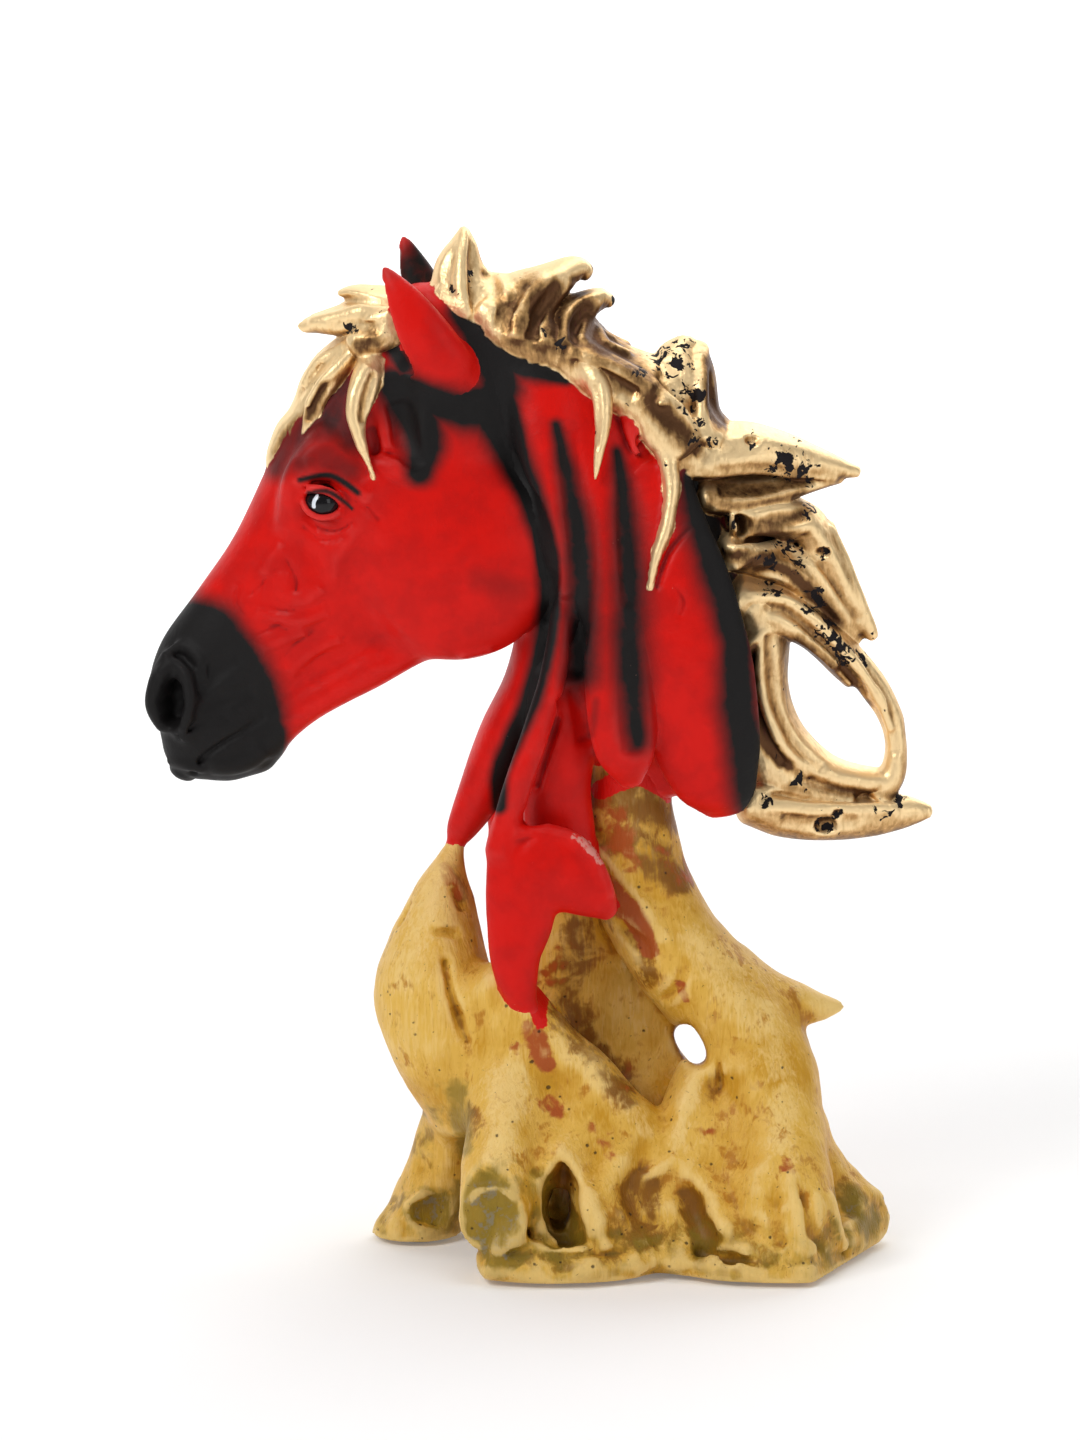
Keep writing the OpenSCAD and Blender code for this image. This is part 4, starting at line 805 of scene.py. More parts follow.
def shapeEyes():
    for side in (-1, 1):
        centre = onHead(headSet["eyeAlong"], headSet["eyeUp"], side * headSet["eyeSide"])
        press("head", "bust", Ball(centre, (headSet["eyeRadius"] + headSet["eyeGap"],) * 3, 0.3, True))
        for lid in lidSet.values():
            thick = lid["thick"]
            rows = [tuple(centre + np.array((x, -side * y, z))) + (thick, thick) for x, y, z in lid["path"]]
            press("head", "bust", Stroke(rows, 1.0))


nostrilSet = dict(
    spots=((172, 703), (174, 689), (171, 718)), sizes=(3.3, 2.5, 2.6), inward=(0.35, 1.0, 0.15),
    taper=((-3, 1.1), (0, 1.0), (4.5, 0.75)), flat=0.9)


def detailHead():
    cuts = [
        carved(0.9, (303, 489, 0.6, 0.7), (318, 481, 0.8, 1.1), (338, 484, 0.8, 1.1), (357, 498, 0.6, 0.7)),
        carved(0.9, (305, 515, 0.5, 0.5), (318, 528, 0.7, 0.9), (336, 531, 0.7, 0.9), (352, 522, 0.6, 0.6)),
        carved(0.9, (303, 527, 0.5, 0.4), (322, 540, 0.6, 0.6), (345, 536, 0.5, 0.4)),
        carved(0.9, (357, 500, 0.5, 0.4), (368, 508, 0.7, 0.7), (378, 520, 0.5, 0.4)),
        carved(2.0, (368, 545, 6, 6), (359, 574, 6.8, 6.8), (363, 606, 6.9, 6.9), (382, 630, 6.6, 6.6),
            (402, 648, 6, 6), lift=6.1),
        carved(2.0, (300, 546, 4, 4), (318, 562, 4.6, 4.6), (322, 588, 4, 4), lift=4.1),
        carved(0.7, (272, 566, 0.4, 0.3), (261, 584, 0.55, 0.5), (250, 594, 0.4, 0.3)),
        carved(0.7, (286, 560, 0.4, 0.3), (296, 582, 0.55, 0.45), (292, 602, 0.4, 0.3)),
        carved(0.7, (278, 611, 0.4, 0.2), (304, 608, 0.5, 0.25), (326, 598, 0.5, 0.2),
            (340, 588, 0.4, 0.15)),
        carved(0.7, (254, 635, 0.4, 0.3), (274, 627, 0.5, 0.4), (286, 620, 0.4, 0.3)),
        carved(0.7, (282, 660, 0.4, 0.3), (297, 643, 0.55, 0.45), (316, 630, 0.4, 0.3)),
        carved(0.7, (310, 662, 0.4, 0.3), (330, 648, 0.5, 0.4), (350, 634, 0.4, 0.3)),
        carved(0.7, (238, 585, 0.4, 0.2), (236, 602, 0.55, 0.4), (244, 615, 0.4, 0.2)),
        carved(1.0, (193, 774, 0.9, 1.5), (203, 759, 1.0, 1.5), (222, 745, 0.9, 1.3), (245, 731, 0.8, 1.0),
            (264, 716, 0.6, 0.6)),
        carved(1.0, (168, 668, 0.6, 0.5), (180, 655, 0.8, 0.7), (192, 668, 0.6, 0.5)),
        carved(2.0, (200, 690, 1.5, 0.7), (214, 672, 2.2, 1.0), (232, 660, 1.6, 0.6)),
        carved(1.8, (196, 712, 1.2, 0.5), (222, 700, 1.8, 0.8), (250, 690, 1.4, 0.5)),
        carved(1.2, (176, 738, 0.6, 0.4), (200, 722, 1.0, 0.6), (226, 716, 0.8, 0.4)),
        carved(2.5, (398, 408, 2.2, 0.8), (404, 432, 3.0, 1.4), (412, 462, 2.4, 0.9)),
        carved(1.8, (372, 430, 1.2, 0.5), (378, 448, 1.8, 0.9), (392, 462, 1.4, 0.6)),
    ]
    ridges = [
        raised(2.2, (299, 482, 1.0, 0.6), (310, 473, 1.5, 1.4), (332, 474, 1.6, 1.6), (352, 487, 1.4, 1.2),
            (366, 498, 0.9, 0.5)),
        raised(2.5, (306, 462, 1.5, 0.5), (320, 452, 2.4, 1.0), (336, 457, 2.2, 0.9), (352, 474, 1.4, 0.5)),
        raised(1.6, (280, 548, 0.8, 0.3), (272, 558, 1.2, 0.6), (264, 572, 1.0, 0.4)),
        raised(1.3, (283, 575, 0.7, 0.1), (286, 592, 0.8, 0.2), (300, 599, 0.8, 0.2), (322, 590, 0.6, 0.1)),
        raised(1.5, (258, 612, 0.8, 0.2), (278, 618, 1.0, 0.45), (300, 622, 0.9, 0.4),
            (326, 612, 0.7, 0.2)),
        raised(1.5, (262, 648, 0.8, 0.2), (280, 640, 1.0, 0.4), (302, 632, 0.7, 0.2)),
        raised(1.5, (290, 672, 0.8, 0.2), (312, 652, 1.0, 0.4), (338, 640, 0.7, 0.2)),
        raised(1.5, (160, 672, 0.9, 0.7), (176, 664, 1.2, 1.2), (188, 680, 1.2, 1.3), (190, 706, 1.2, 1.2),
            (182, 728, 1.0, 0.8)),
        raised(1.4, (165, 655, 0.8, 0.5), (182, 645, 1.1, 0.8), (200, 660, 1.0, 0.7), (204, 680, 0.8, 0.4)),
        raised(2.0, (215, 768, 1.6, 0.7), (240, 765, 2.2, 1.2), (262, 752, 1.8, 0.8)),
        raised(1.4, (170, 762, 1.0, 0.6), (186, 765, 1.4, 1.1), (202, 770, 1.0, 0.6)),
        raised(2.0, (380, 455, 1.0, 0.4), (394, 468, 1.8, 0.9), (412, 478, 1.2, 0.5)),
        raised(1.8, (372, 392, 1.0, 0.5), (382, 420, 1.4, 1.0), (386, 446, 1.0, 0.6)),
        raised(1.2, (432, 663, 1.0, 0.5), (462, 655, 1.3, 0.8), (490, 650, 1.0, 0.5)),
    ]
    for stroke in landLines(["head"], cuts + ridges):
        pressPair("head", "bust", stroke)
    landed, faces, missed = landPixels(nostrilSet["spots"], ["head"])
    inward = np.array(nostrilSet["inward"])
    for place, size in zip(landed, nostrilSet["sizes"]):
        rows = [tuple(place + inward * depth) + (size * scale, size * scale * nostrilSet["flat"])
                for depth, scale in nostrilSet["taper"]]
        hole = Stroke(rows, 1.4, True)
        press("head", "bust", hole, hole.flipped())


def shapeNeck():
    press("neck", "bust", Stroke(neckRows, 3.0, tip=0.4))
    for rows, blend in ((ridgeOneRows, 5.0), (spindleRows, 1.2), (webRows, 3.0)):
        ridge = Stroke(drawn(rows), blend)
        press("neck", "bust", ridge, ridge.flipped())
    press("front_ribbon", "bust", Stroke(frontRibbonRows, 2.0))
    for piece, rows, blend, steps in (
            ("near_flap", flapRibbonRows, 2.0, 4), ("near_flap", flapRows, 3.0, 10),
            ("near_flap", lobeRows, 3.0, 10), ("near_tongue", tongueRows, 3.0, 4),
            ("near_shoulder", shoulderRows, 3.0, 4)):
        pressPair(piece, "bust", Stroke(drawn(rows), blend, steps=steps))


def detailNeck():
    bustPieces = [name for name in clay if clay[name]["family"] == "bust" and not name.startswith("far_")]
    valleys = [
        carved(2.5, (488, 425, 2.0, 0.8), (513, 467, 2.4, 1.2), (538, 517, 2.4, 1.4), (551, 567, 2.2, 1.2),
            (549, 620, 1.8, 0.8)),
        carved(2.5, (567, 433, 2.0, 0.6), (575, 492, 2.6, 1.2), (582, 560, 2.6, 1.4), (581, 620, 2.4, 1.4),
            (580, 672, 2.6, 1.8)),
        carved(2.5, (627, 480, 2.0, 0.6), (630, 533, 2.4, 1.0), (632, 600, 2.0, 0.9)),
        carved(1.0, (690, 527, 0.6, 0.6), (668, 553, 0.9, 1.0), (657, 587, 0.7, 0.7)),
        carved(0.8, (676, 588, 0.5, 0.4), (684, 602, 0.7, 0.7), (680, 615, 0.5, 0.4)),
        carved(0.7, (640, 425, 0.5, 0.6), (639, 440, 0.8, 1.2), (640, 455, 0.6, 0.7)),
        carved(1.0, (560, 700, 0.9, 1.0), (556, 722, 1.4, 1.6), (546, 752, 1.4, 1.6), (536, 786, 1.2, 1.2)),
        carved(2.0, (575, 690, 1.6, 1.0), (584, 715, 2.4, 1.4), (586, 740, 2.0, 1.0)),
    ]
    for stroke in landLines(bustPieces, valleys):
        press("neck", "bust", stroke, stroke.flipped())
        for fold in ("flap", "tongue", "shoulder"):
            pressPair("near_" + fold, "bust", stroke)
    rim = raised(
        2.0, (514, 832, 1.0, 0.5), (540, 830, 1.4, 0.9), (572, 838, 1.5, 1.0), (596, 862, 1.4, 0.9),
        (610, 895, 1.0, 0.5))
    cup = carved(
        1.6, (628, 640, 2.0, 0.8), (632, 690, 3.6, 1.8), (634, 725, 3.8, 2.2), (634, 750, 2.6, 1.4))
    for piece, line in (("near_flap", rim), ("near_tongue", cup)):
        for stroke in landLines(bustPieces, [line]):
            pressPair(piece, "bust", stroke)


earCup = dict(shift=0.95, drop=1.5, wide=0.55, deep=0.6)


def shapeEars():
    for name, rows in earPaths.items():
        leaf = drawn(rows)
        press(name, "bust", Stroke(leaf, 1.5))
        cup = []
        for x, y, z, wide, deep in leaf[1:-1]:
            place = (x - deep * earCup["shift"], y, z - earCup["drop"])
            cup.append(place + (wide * earCup["wide"], deep * earCup["deep"]))
        press(name, "bust", Stroke(cup, 0.8, True))


# gilded locks. Rows are drawn over the picture: pixel, y, half y, half depth
lockRows = {
    "forelock_crown": [
        [(392, 318, 0, 12, 6.5), (365, 315, 0, 11.5, 6.2), (340, 321, 0, 9.5, 3.8), (318, 323, 0, 6, 2.4),
            (305, 326, 0, 2.6, 1.6), (300, 326, 0, 0.8, 0.8)],
        [(392, 300, 0, 8, 3.6), (368, 295, 0, 7.4, 2.6), (350, 293, 0, 5, 1.8), (340, 294, 0, 1.6, 1.0)]],
    "forelock_brow": [
        [(370, 338, 0, 11.5, 6), (348, 354, 0, 11, 5), (323, 375, 0, 9.5, 4.4), (308, 399, 0, 7.5, 3.4),
            (303, 414, 0, 5, 2.6), (305, 427, 0, 2, 1.6)],
        [(322, 394, 0, 10, 4), (302, 417, 0, 9, 3.8), (285, 436, 0, 7, 3.2), (275, 457, 0, 4.6, 2.3),
            (274, 476, 0, 1, 0.9)]],
    "forelock_near": [
        [(376, 352, -10, 3, 3), (368, 374, -15.4, 3, 3.6), (361, 396, -18, 2.8, 3.6),
            (357, 420, -19.4, 2.2, 2.5), (362, 446, -20.2, 1.4, 1.5), (374, 477, -20.6, 0.3, 0.3)]],
    "mane_poll_tuft": [
        [(474, 325, 0, 11, 8), (463, 294, 0, 10.4, 7.8), (460, 267, 0, 8.4, 6.4), (463, 244, 0, 5.2, 3.6),
            (464, 229, 0, 1.8, 1.3)],
        [(470, 300, 0, 12, 6), (492, 293, 0, 11.5, 5.2), (512, 296, 0, 11, 5)]],
    "mane_front_tuft": [
        [(506, 325, 0, 13.5, 9), (530, 300, 0, 12.4, 8.6), (549, 284, 0, 9.8, 5.6), (567, 273, 0, 7.4, 4.2),
            (580, 270, 0, 5.2, 3.3), (587, 273, 0, 3, 2.4)]],
    "mane_middle_tuft": [
        [(556, 345, 0, 14, 8.6), (569, 319, 0, 11.5, 6.4), (583, 306, 0, 8.2, 4.0), (597, 300, 0, 5.6, 2.9),
            (606, 300, 0, 3.6, 2.2), (610, 302, 0, 2, 1.5)],
        [(565, 345, 0, 14.5, 7.5), (590, 352, 0, 14.5, 6.8), (618, 367, 0, 14.8, 6.2),
            (645, 380, 0, 15.4, 7)]],
    "mane_rear_tuft": [
        [(660, 412, 0, 16.5, 10), (672, 390, 0, 15, 8.8), (677, 370, 0, 12, 7.2), (681, 356, 0, 8.4, 5.8),
            (687, 346, 0, 4.6, 3.6), (692, 342, 0, 2.4, 1.8)],
        [(665, 415, 0, 17, 8), (690, 425, 0, 16.5, 7), (715, 435, 0, 15.5, 5.5)],
        [(704, 428, 0, 14, 4.6), (700, 398, 0, 11.5, 4.6), (698, 370, 0, 8.6, 4.2), (697, 351, 0, 5, 2.8)]],
    "mane_long_lock": [
        [(676, 450, 0, 17.8, 8.6), (712, 449, 0, 16.8, 7), (750, 446, 0, 14.6, 6.1),
            (790, 454, 0, 10.4, 4.9), (825, 464, 0, 6, 3.4), (846, 470, 0, 3.4, 2.2),
            (857, 472, 0, 1.8, 1.5)],
        [(705, 492, 0, 15, 5.4), (742, 492, 0, 13.6, 4.8), (780, 487, 0, 10.4, 3.8), (815, 482, 0, 6, 2.2),
            (840, 479, 0, 2, 1.2)]],
    "mane_rear_lock": [
        [(735, 518, 0, 16, 6), (775, 515, 0, 13.5, 6), (806, 524, 0, 11, 5.2), (824, 550, 0, 8.8, 4.4),
            (840, 580, 0, 6.8, 3.6), (855, 608, 0, 4.6, 2.9), (867, 628, 0, 3, 2.2),
            (873, 637, 0, 1.6, 1.3)],
        [(728, 545, 0, 16.4, 6), (762, 556, 0, 14.5, 5.4), (795, 572, 0, 11.4, 4.8), (820, 597, 0, 8, 4),
            (842, 624, 0, 4.4, 2.6), (858, 640, 0, 1.4, 1.2)]],
    "mane_loop_lock": [
        [(738, 592, 0, 16, 7), (775, 603, 0, 13, 6.4), (810, 622, 0, 10.4, 5.2), (840, 650, 0, 8, 4.4),
            (871, 683, 0, 6.2, 3.7), (890, 716, 0, 5.4, 3.1), (896, 746, 0, 5, 2.9),
            (892, 774, 0, 4.8, 3.4), (880, 794, 0, 5, 3.8)],
        [(745, 640, 0, 14.5, 3.4), (765, 622, 0, 14, 3), (792, 628, 0, 11, 2.6), (822, 650, 0, 8.6, 2.4),
            (850, 680, 0, 6.6, 2)]],
    "mane_root_lock": [
        [(752, 600, 0, 15, 7), (767, 640, 0, 13, 5.6), (767, 680, 0, 11.6, 5.4), (776, 718, 0, 10.6, 5.2),
            (797, 749, 0, 9.6, 5.0), (832, 772, 0, 8, 3.9), (874, 780, 0, 5.8, 3.2), (890, 776, 0, 4.8, 3)],
        [(750, 690, 0, 11, 4), (756, 730, 0, 11, 6.4), (772, 764, 0, 10.4, 7.4), (802, 786, 0, 9, 5),
            (850, 796, 0, 6.6, 2.6)]],
    "mane_tail": [
        [(750, 798, 0, 12.4, 6.6), (788, 806, 0, 11, 8), (825, 812, 0, 9.8, 7.2), (866, 814, 0, 7.4, 5.9),
            (901, 811, 0, 5, 4.4), (919, 811, 0, 3.2, 3.0), (928, 811, 0, 1.9, 1.9)]],
    "near_front_strand": [
        [(575, 356, -13.5, 3, 3.6), (590, 372, -16.6, 2.6, 3.0), (601, 392, -18.8, 2.4, 2.6),
            (603, 420, -20.6, 2.1, 2.1), (599, 452, -21.6, 1.5, 1.4), (595, 480, -22.2, 0.3, 0.3)]],
    "near_back_strand": [
        [(662, 432, -14, 3, 3), (668, 458, -17.4, 2.6, 2.5), (672, 490, -19.8, 2.2, 2.0),
            (667, 525, -21.6, 1.9, 1.5), (656, 558, -23, 1.5, 1.2), (650, 588, -23.6, 0.3, 0.3)]],
}
# strips low on the near side, which the far side mirrors
sideRows = {
    "forelock_crown": [(398, 324, -12, 4, 5), (378, 332, -13, 4, 5), (358, 346, -12, 3.4, 4)],
    "forelock_brow": [
        (358, 345, -8, 3, 2.6), (340, 368, -11, 3, 2.6), (322, 392, -12, 2.6, 2.4), (311, 415, -12, 2, 2),
        (306, 436, -11, 0.8, 0.8)],
    "mane_front_tuft": [
        (486, 312, -9, 4, 4), (508, 326, -11, 4.4, 6), (532, 340, -12, 4.4, 6), (560, 352, -13, 4, 5)],
    "mane_middle_tuft": [
        (562, 350, -13, 4, 5), (590, 368, -14, 4.4, 6), (620, 386, -15, 4.4, 6.4), (645, 400, -15.5, 4, 6)],
    "mane_rear_tuft": [(640, 396, -15, 4, 5), (662, 420, -16, 4.4, 7), (682, 448, -16.5, 4, 6)],
}


def mirrored(rows):
    return [(px, py, -y, wide, deep) for px, py, y, wide, deep in rows]


for name, rows in sideRows.items():
    lockRows[name] += [rows, mirrored(rows)]
for near in ("forelock_near", "near_front_strand", "near_back_strand"):
    lockRows[near.replace("near", "far")] = [mirrored(lockRows[near][0])]

# flutes are hollowed out and ridges laid on: pixel, half width, depth or height
fluteLines = {
    "mane_poll_tuft": [
        [(474, 312, 2.4, 0.8), (478, 285, 3.0, 1.2), (472, 258, 2.2, 0.9), (467, 240, 1.0, 0.4)],
        [(448, 296, 1.5, 0.6), (446, 276, 2.0, 0.9), (454, 252, 1.2, 0.5)],
        [(492, 318, 1.6, 1.0), (494, 295, 2.4, 1.5), (488, 274, 1.6, 0.8)]],
    "mane_front_tuft": [
        [(504, 330, 2.6, 0.5), (512, 303, 3.0, 0.7), (528, 284, 2.2, 0.5)],
        [(532, 338, 2.6, 0.5), (540, 310, 3.0, 0.8), (560, 284, 2.2, 0.6)],
        [(558, 338, 2.0, 0.5), (562, 312, 2.4, 0.7), (578, 284, 1.8, 0.5)]],
    "mane_middle_tuft": [
        [(572, 340, 1.6, 0.7), (576, 322, 2.4, 1.1), (588, 307, 1.6, 0.7)],
        [(596, 316, 1.4, 1.0), (606, 334, 2.0, 1.4), (626, 344, 2.0, 1.2), (644, 345, 1.4, 0.6)],
        [(575, 362, 2.0, 0.6), (606, 376, 3.0, 1.2), (636, 392, 3.0, 1.2)]],
    "mane_rear_tuft": [
        [(668, 360, 2.4, 0.8), (680, 384, 4.2, 1.7), (692, 412, 3.4, 1.2)],
        [(709, 372, 1.2, 0.7), (713, 400, 2.0, 1.2), (726, 422, 1.6, 0.8)],
        [(650, 398, 1.8, 0.6), (668, 420, 2.6, 1.1), (690, 434, 2.0, 0.7)]],
    "mane_long_lock": [
        [(700, 458, 2.6, 0.8), (735, 450, 3.4, 1.1), (778, 452, 3.0, 0.9), (815, 461, 1.8, 0.5)],
        [(722, 490, 2.4, 1.0), (758, 488, 3.0, 1.6), (795, 482, 2.2, 1.1), (824, 480, 1.2, 0.5)]],
    "mane_rear_lock": [
        [(722, 522, 2.2, 1.2), (750, 526, 3.2, 2.4), (782, 520, 3.0, 2.0), (806, 514, 1.8, 0.9)],
        [(724, 548, 1.4, 1.0), (742, 552, 2.0, 1.8), (768, 542, 2.0, 1.6), (792, 545, 1.6, 0.9)],
        [(805, 536, 1.6, 0.6), (824, 562, 2.4, 1.1), (843, 595, 1.8, 0.8), (858, 618, 1.0, 0.4)],
        [(758, 572, 1.6, 0.9), (786, 574, 2.0, 1.4), (812, 596, 1.8, 1.1), (834, 622, 1.2, 0.6)]],
    "mane_loop_lock": [
        [(752, 610, 1.8, 0.9), (782, 610, 2.2, 1.4), (812, 632, 1.8, 1.1), (842, 662, 1.6, 0.9),
            (866, 694, 1.2, 0.6), (882, 730, 1.0, 0.5)],
        [(856, 652, 1.2, 0.5), (880, 688, 1.6, 0.8), (894, 722, 1.4, 0.7), (896, 752, 1.0, 0.4)]],
    "mane_root_lock": [
        [(766, 636, 1.2, 0.6), (769, 672, 2.0, 1.5), (776, 712, 2.0, 1.5), (796, 748, 1.8, 1.2),
            (822, 768, 1.4, 0.7)],
        [(752, 650, 1.6, 0.7), (751, 690, 2.2, 1.1), (762, 732, 2.0, 1.0), (782, 764, 1.4, 0.6)]],
    "mane_tail": [
        [(768, 788, 1.6, 0.6), (802, 795, 2.4, 1.1), (848, 798, 2.4, 1.0), (895, 802, 1.4, 0.5)],
        [(784, 820, 1.8, 0.6), (815, 822, 2.4, 1.0), (856, 820, 1.8, 0.7)]],
    "forelock_crown": [
        [(388, 306, 1.2, 0.8), (370, 303, 1.6, 1.3), (352, 299, 1.2, 0.9), (341, 300, 0.8, 0.5)],
        [(378, 328, 1.6, 0.7), (354, 327, 2.0, 1.0), (330, 326, 1.4, 0.6)]],
    "forelock_brow": [
        [(348, 352, 1.2, 0.7), (330, 372, 2.0, 1.5), (316, 396, 1.6, 1.2), (308, 420, 1.0, 0.6)],
        [(330, 352, 1.2, 0.5), (312, 374, 1.6, 0.9), (300, 394, 1.0, 0.5)],
        [(298, 418, 1.2, 0.6), (284, 436, 1.6, 1.0), (274, 456, 1.0, 0.5)]],
    "forelock_near": [[(372, 376, 0.8, 0.5), (366, 398, 1.2, 0.9), (362, 420, 0.9, 0.6)]],
    "near_front_strand": [[(596, 386, 0.6, 0.4), (598, 415, 0.8, 0.6), (596, 445, 0.6, 0.4)]],
}
ridgeLines = {
    "mane_poll_tuft": [
        [(464, 312, 0.9, 0.6), (461, 285, 1.1, 1.0), (462, 255, 0.9, 0.8), (464, 232, 0.6, 0.4)],
        [(440, 290, 0.8, 0.5), (452, 304, 1.0, 0.9), (467, 314, 0.8, 0.6)]],
    "mane_front_tuft": [
        [(518, 336, 1.3, 0.6), (527, 304, 1.5, 0.9), (546, 278, 1.3, 0.7)],
        [(546, 342, 1.3, 0.6), (551, 312, 1.4, 0.9), (570, 284, 1.1, 0.6)]],
    "mane_middle_tuft": [
        [(564, 342, 0.9, 0.6), (567, 318, 1.0, 1.0), (580, 302, 0.9, 0.9), (604, 295, 0.6, 0.5)],
        [(582, 338, 0.8, 0.5), (589, 320, 0.9, 0.9), (599, 302, 0.6, 0.5)],
        [(594, 324, 0.8, 0.7), (606, 344, 1.0, 1.2), (626, 353, 1.0, 1.2), (648, 350, 0.8, 0.7)],
        [(572, 352, 1.0, 0.5), (610, 366, 1.3, 1.0), (648, 388, 1.2, 0.7)]],
    "mane_rear_tuft": [
        [(702, 345, 0.9, 0.6), (702, 380, 1.2, 1.3), (702, 415, 1.2, 1.2), (706, 438, 0.9, 0.6)],
        [(650, 350, 0.9, 0.6), (650, 376, 1.1, 1.0), (662, 404, 1.0, 0.7)]],
    "mane_long_lock": [
        [(680, 473, 0.8, 0.6), (714, 472, 1.1, 1.4), (752, 468, 1.2, 1.6), (794, 472, 1.0, 1.3),
            (834, 477, 0.7, 0.6)],
        [(716, 508, 0.8, 0.5), (752, 508, 1.0, 1.0), (786, 500, 0.9, 0.9), (822, 490, 0.6, 0.5)]],
    "mane_rear_lock": [
        [(716, 512, 0.9, 0.6), (717, 532, 1.2, 1.4), (730, 548, 1.2, 1.5), (752, 548, 1.0, 1.2),
            (776, 542, 0.8, 0.6)],
        [(716, 546, 0.9, 0.6), (730, 564, 1.3, 1.6), (756, 555, 1.3, 1.7), (784, 549, 1.3, 1.6),
            (808, 566, 1.2, 1.5), (832, 598, 1.0, 1.1), (856, 630, 0.7, 0.5)],
        [(822, 500, 0.8, 0.5), (832, 530, 1.0, 0.9), (848, 566, 1.0, 1.0), (864, 606, 0.8, 0.7),
            (875, 634, 0.5, 0.4)]],
    "mane_loop_lock": [
        [(746, 634, 0.9, 0.7), (757, 619, 1.3, 1.5), (778, 620, 1.3, 1.4), (804, 638, 1.1, 1.2),
            (834, 664, 0.9, 0.9), (860, 698, 0.8, 0.6)],
        [(752, 596, 0.8, 0.5), (786, 600, 1.1, 1.1), (816, 620, 1.1, 1.1), (848, 654, 1.0, 0.9),
            (876, 692, 0.9, 0.8), (890, 728, 0.7, 0.5)]],
    "mane_root_lock": [
        [(760, 640, 0.8, 0.6), (761, 675, 1.0, 1.3), (768, 712, 1.0, 1.4), (784, 746, 1.0, 1.2),
            (806, 774, 0.8, 0.6)]],
    "mane_tail": [
        [(756, 792, 0.9, 0.5), (790, 786, 1.1, 0.9), (830, 790, 1.0, 0.8), (870, 793, 0.8, 0.5)],
        [(770, 804, 1.0, 0.5), (806, 808, 1.3, 0.9), (850, 808, 1.1, 0.7), (895, 808, 0.8, 0.4)]],
    "forelock_crown": [
        [(388, 313, 0.9, 0.5), (362, 310, 1.1, 0.9), (338, 315, 1.0, 0.8), (312, 321, 0.7, 0.4)]],
    "forelock_brow": [
        [(352, 350, 0.9, 0.5), (338, 366, 1.1, 1.0), (320, 384, 1.0, 0.9), (308, 404, 0.7, 0.5)],
        [(342, 345, 0.9, 0.5), (318, 362, 1.1, 0.9), (304, 384, 0.9, 0.7)]],
    "forelock_near": [
        [(366, 368, 0.7, 0.4), (354, 392, 0.8, 0.7), (352, 418, 0.7, 0.6), (362, 448, 0.5, 0.3)]],
}
dents = [
    ("mane_long_lock", 753, 440, 1.7), ("mane_long_lock", 693, 441, 1.6), ("mane_long_lock", 713, 444, 1.7),
    ("mane_rear_lock", 823, 553, 1.5), ("mane_tail", 826, 826, 2.4), ("mane_tail", 838, 814, 1.2)
]
dentShape = np.array((1.3, 1.2, 1.0))


def shapeLocks():
    for name, strips in lockRows.items():
        for rows in strips:
            press(name, "gilt", Stroke(drawn(rows), 1.8))


def detailLocks():
    lockNames = [name for name in lockRows if not name.startswith("far_") and name != "forelock_far"]
    for name in lockNames:
        lines = [carved(1.4, *path) for path in fluteLines.get(name, [])]
        lines += [raised(2.2, *path) for path in ridgeLines.get(name, [])]
        if not lines:
            continue
        for stroke in landLines([name], lines):
            pressPair(name, "gilt", stroke)
    for name, px, py, size in dents:
        landed, faces, missed = landPixels([(px, py)], [name])
        pressPair(name, "gilt", Ball(landed[0], size * dentShape, 0.6, True))


def sprayed(soft, strength, *path):
    # soft is how far the edge fades; the path is drawn over the picture: pixel, half width in pixels
    return dict(path=path, soft=soft, strength=strength)


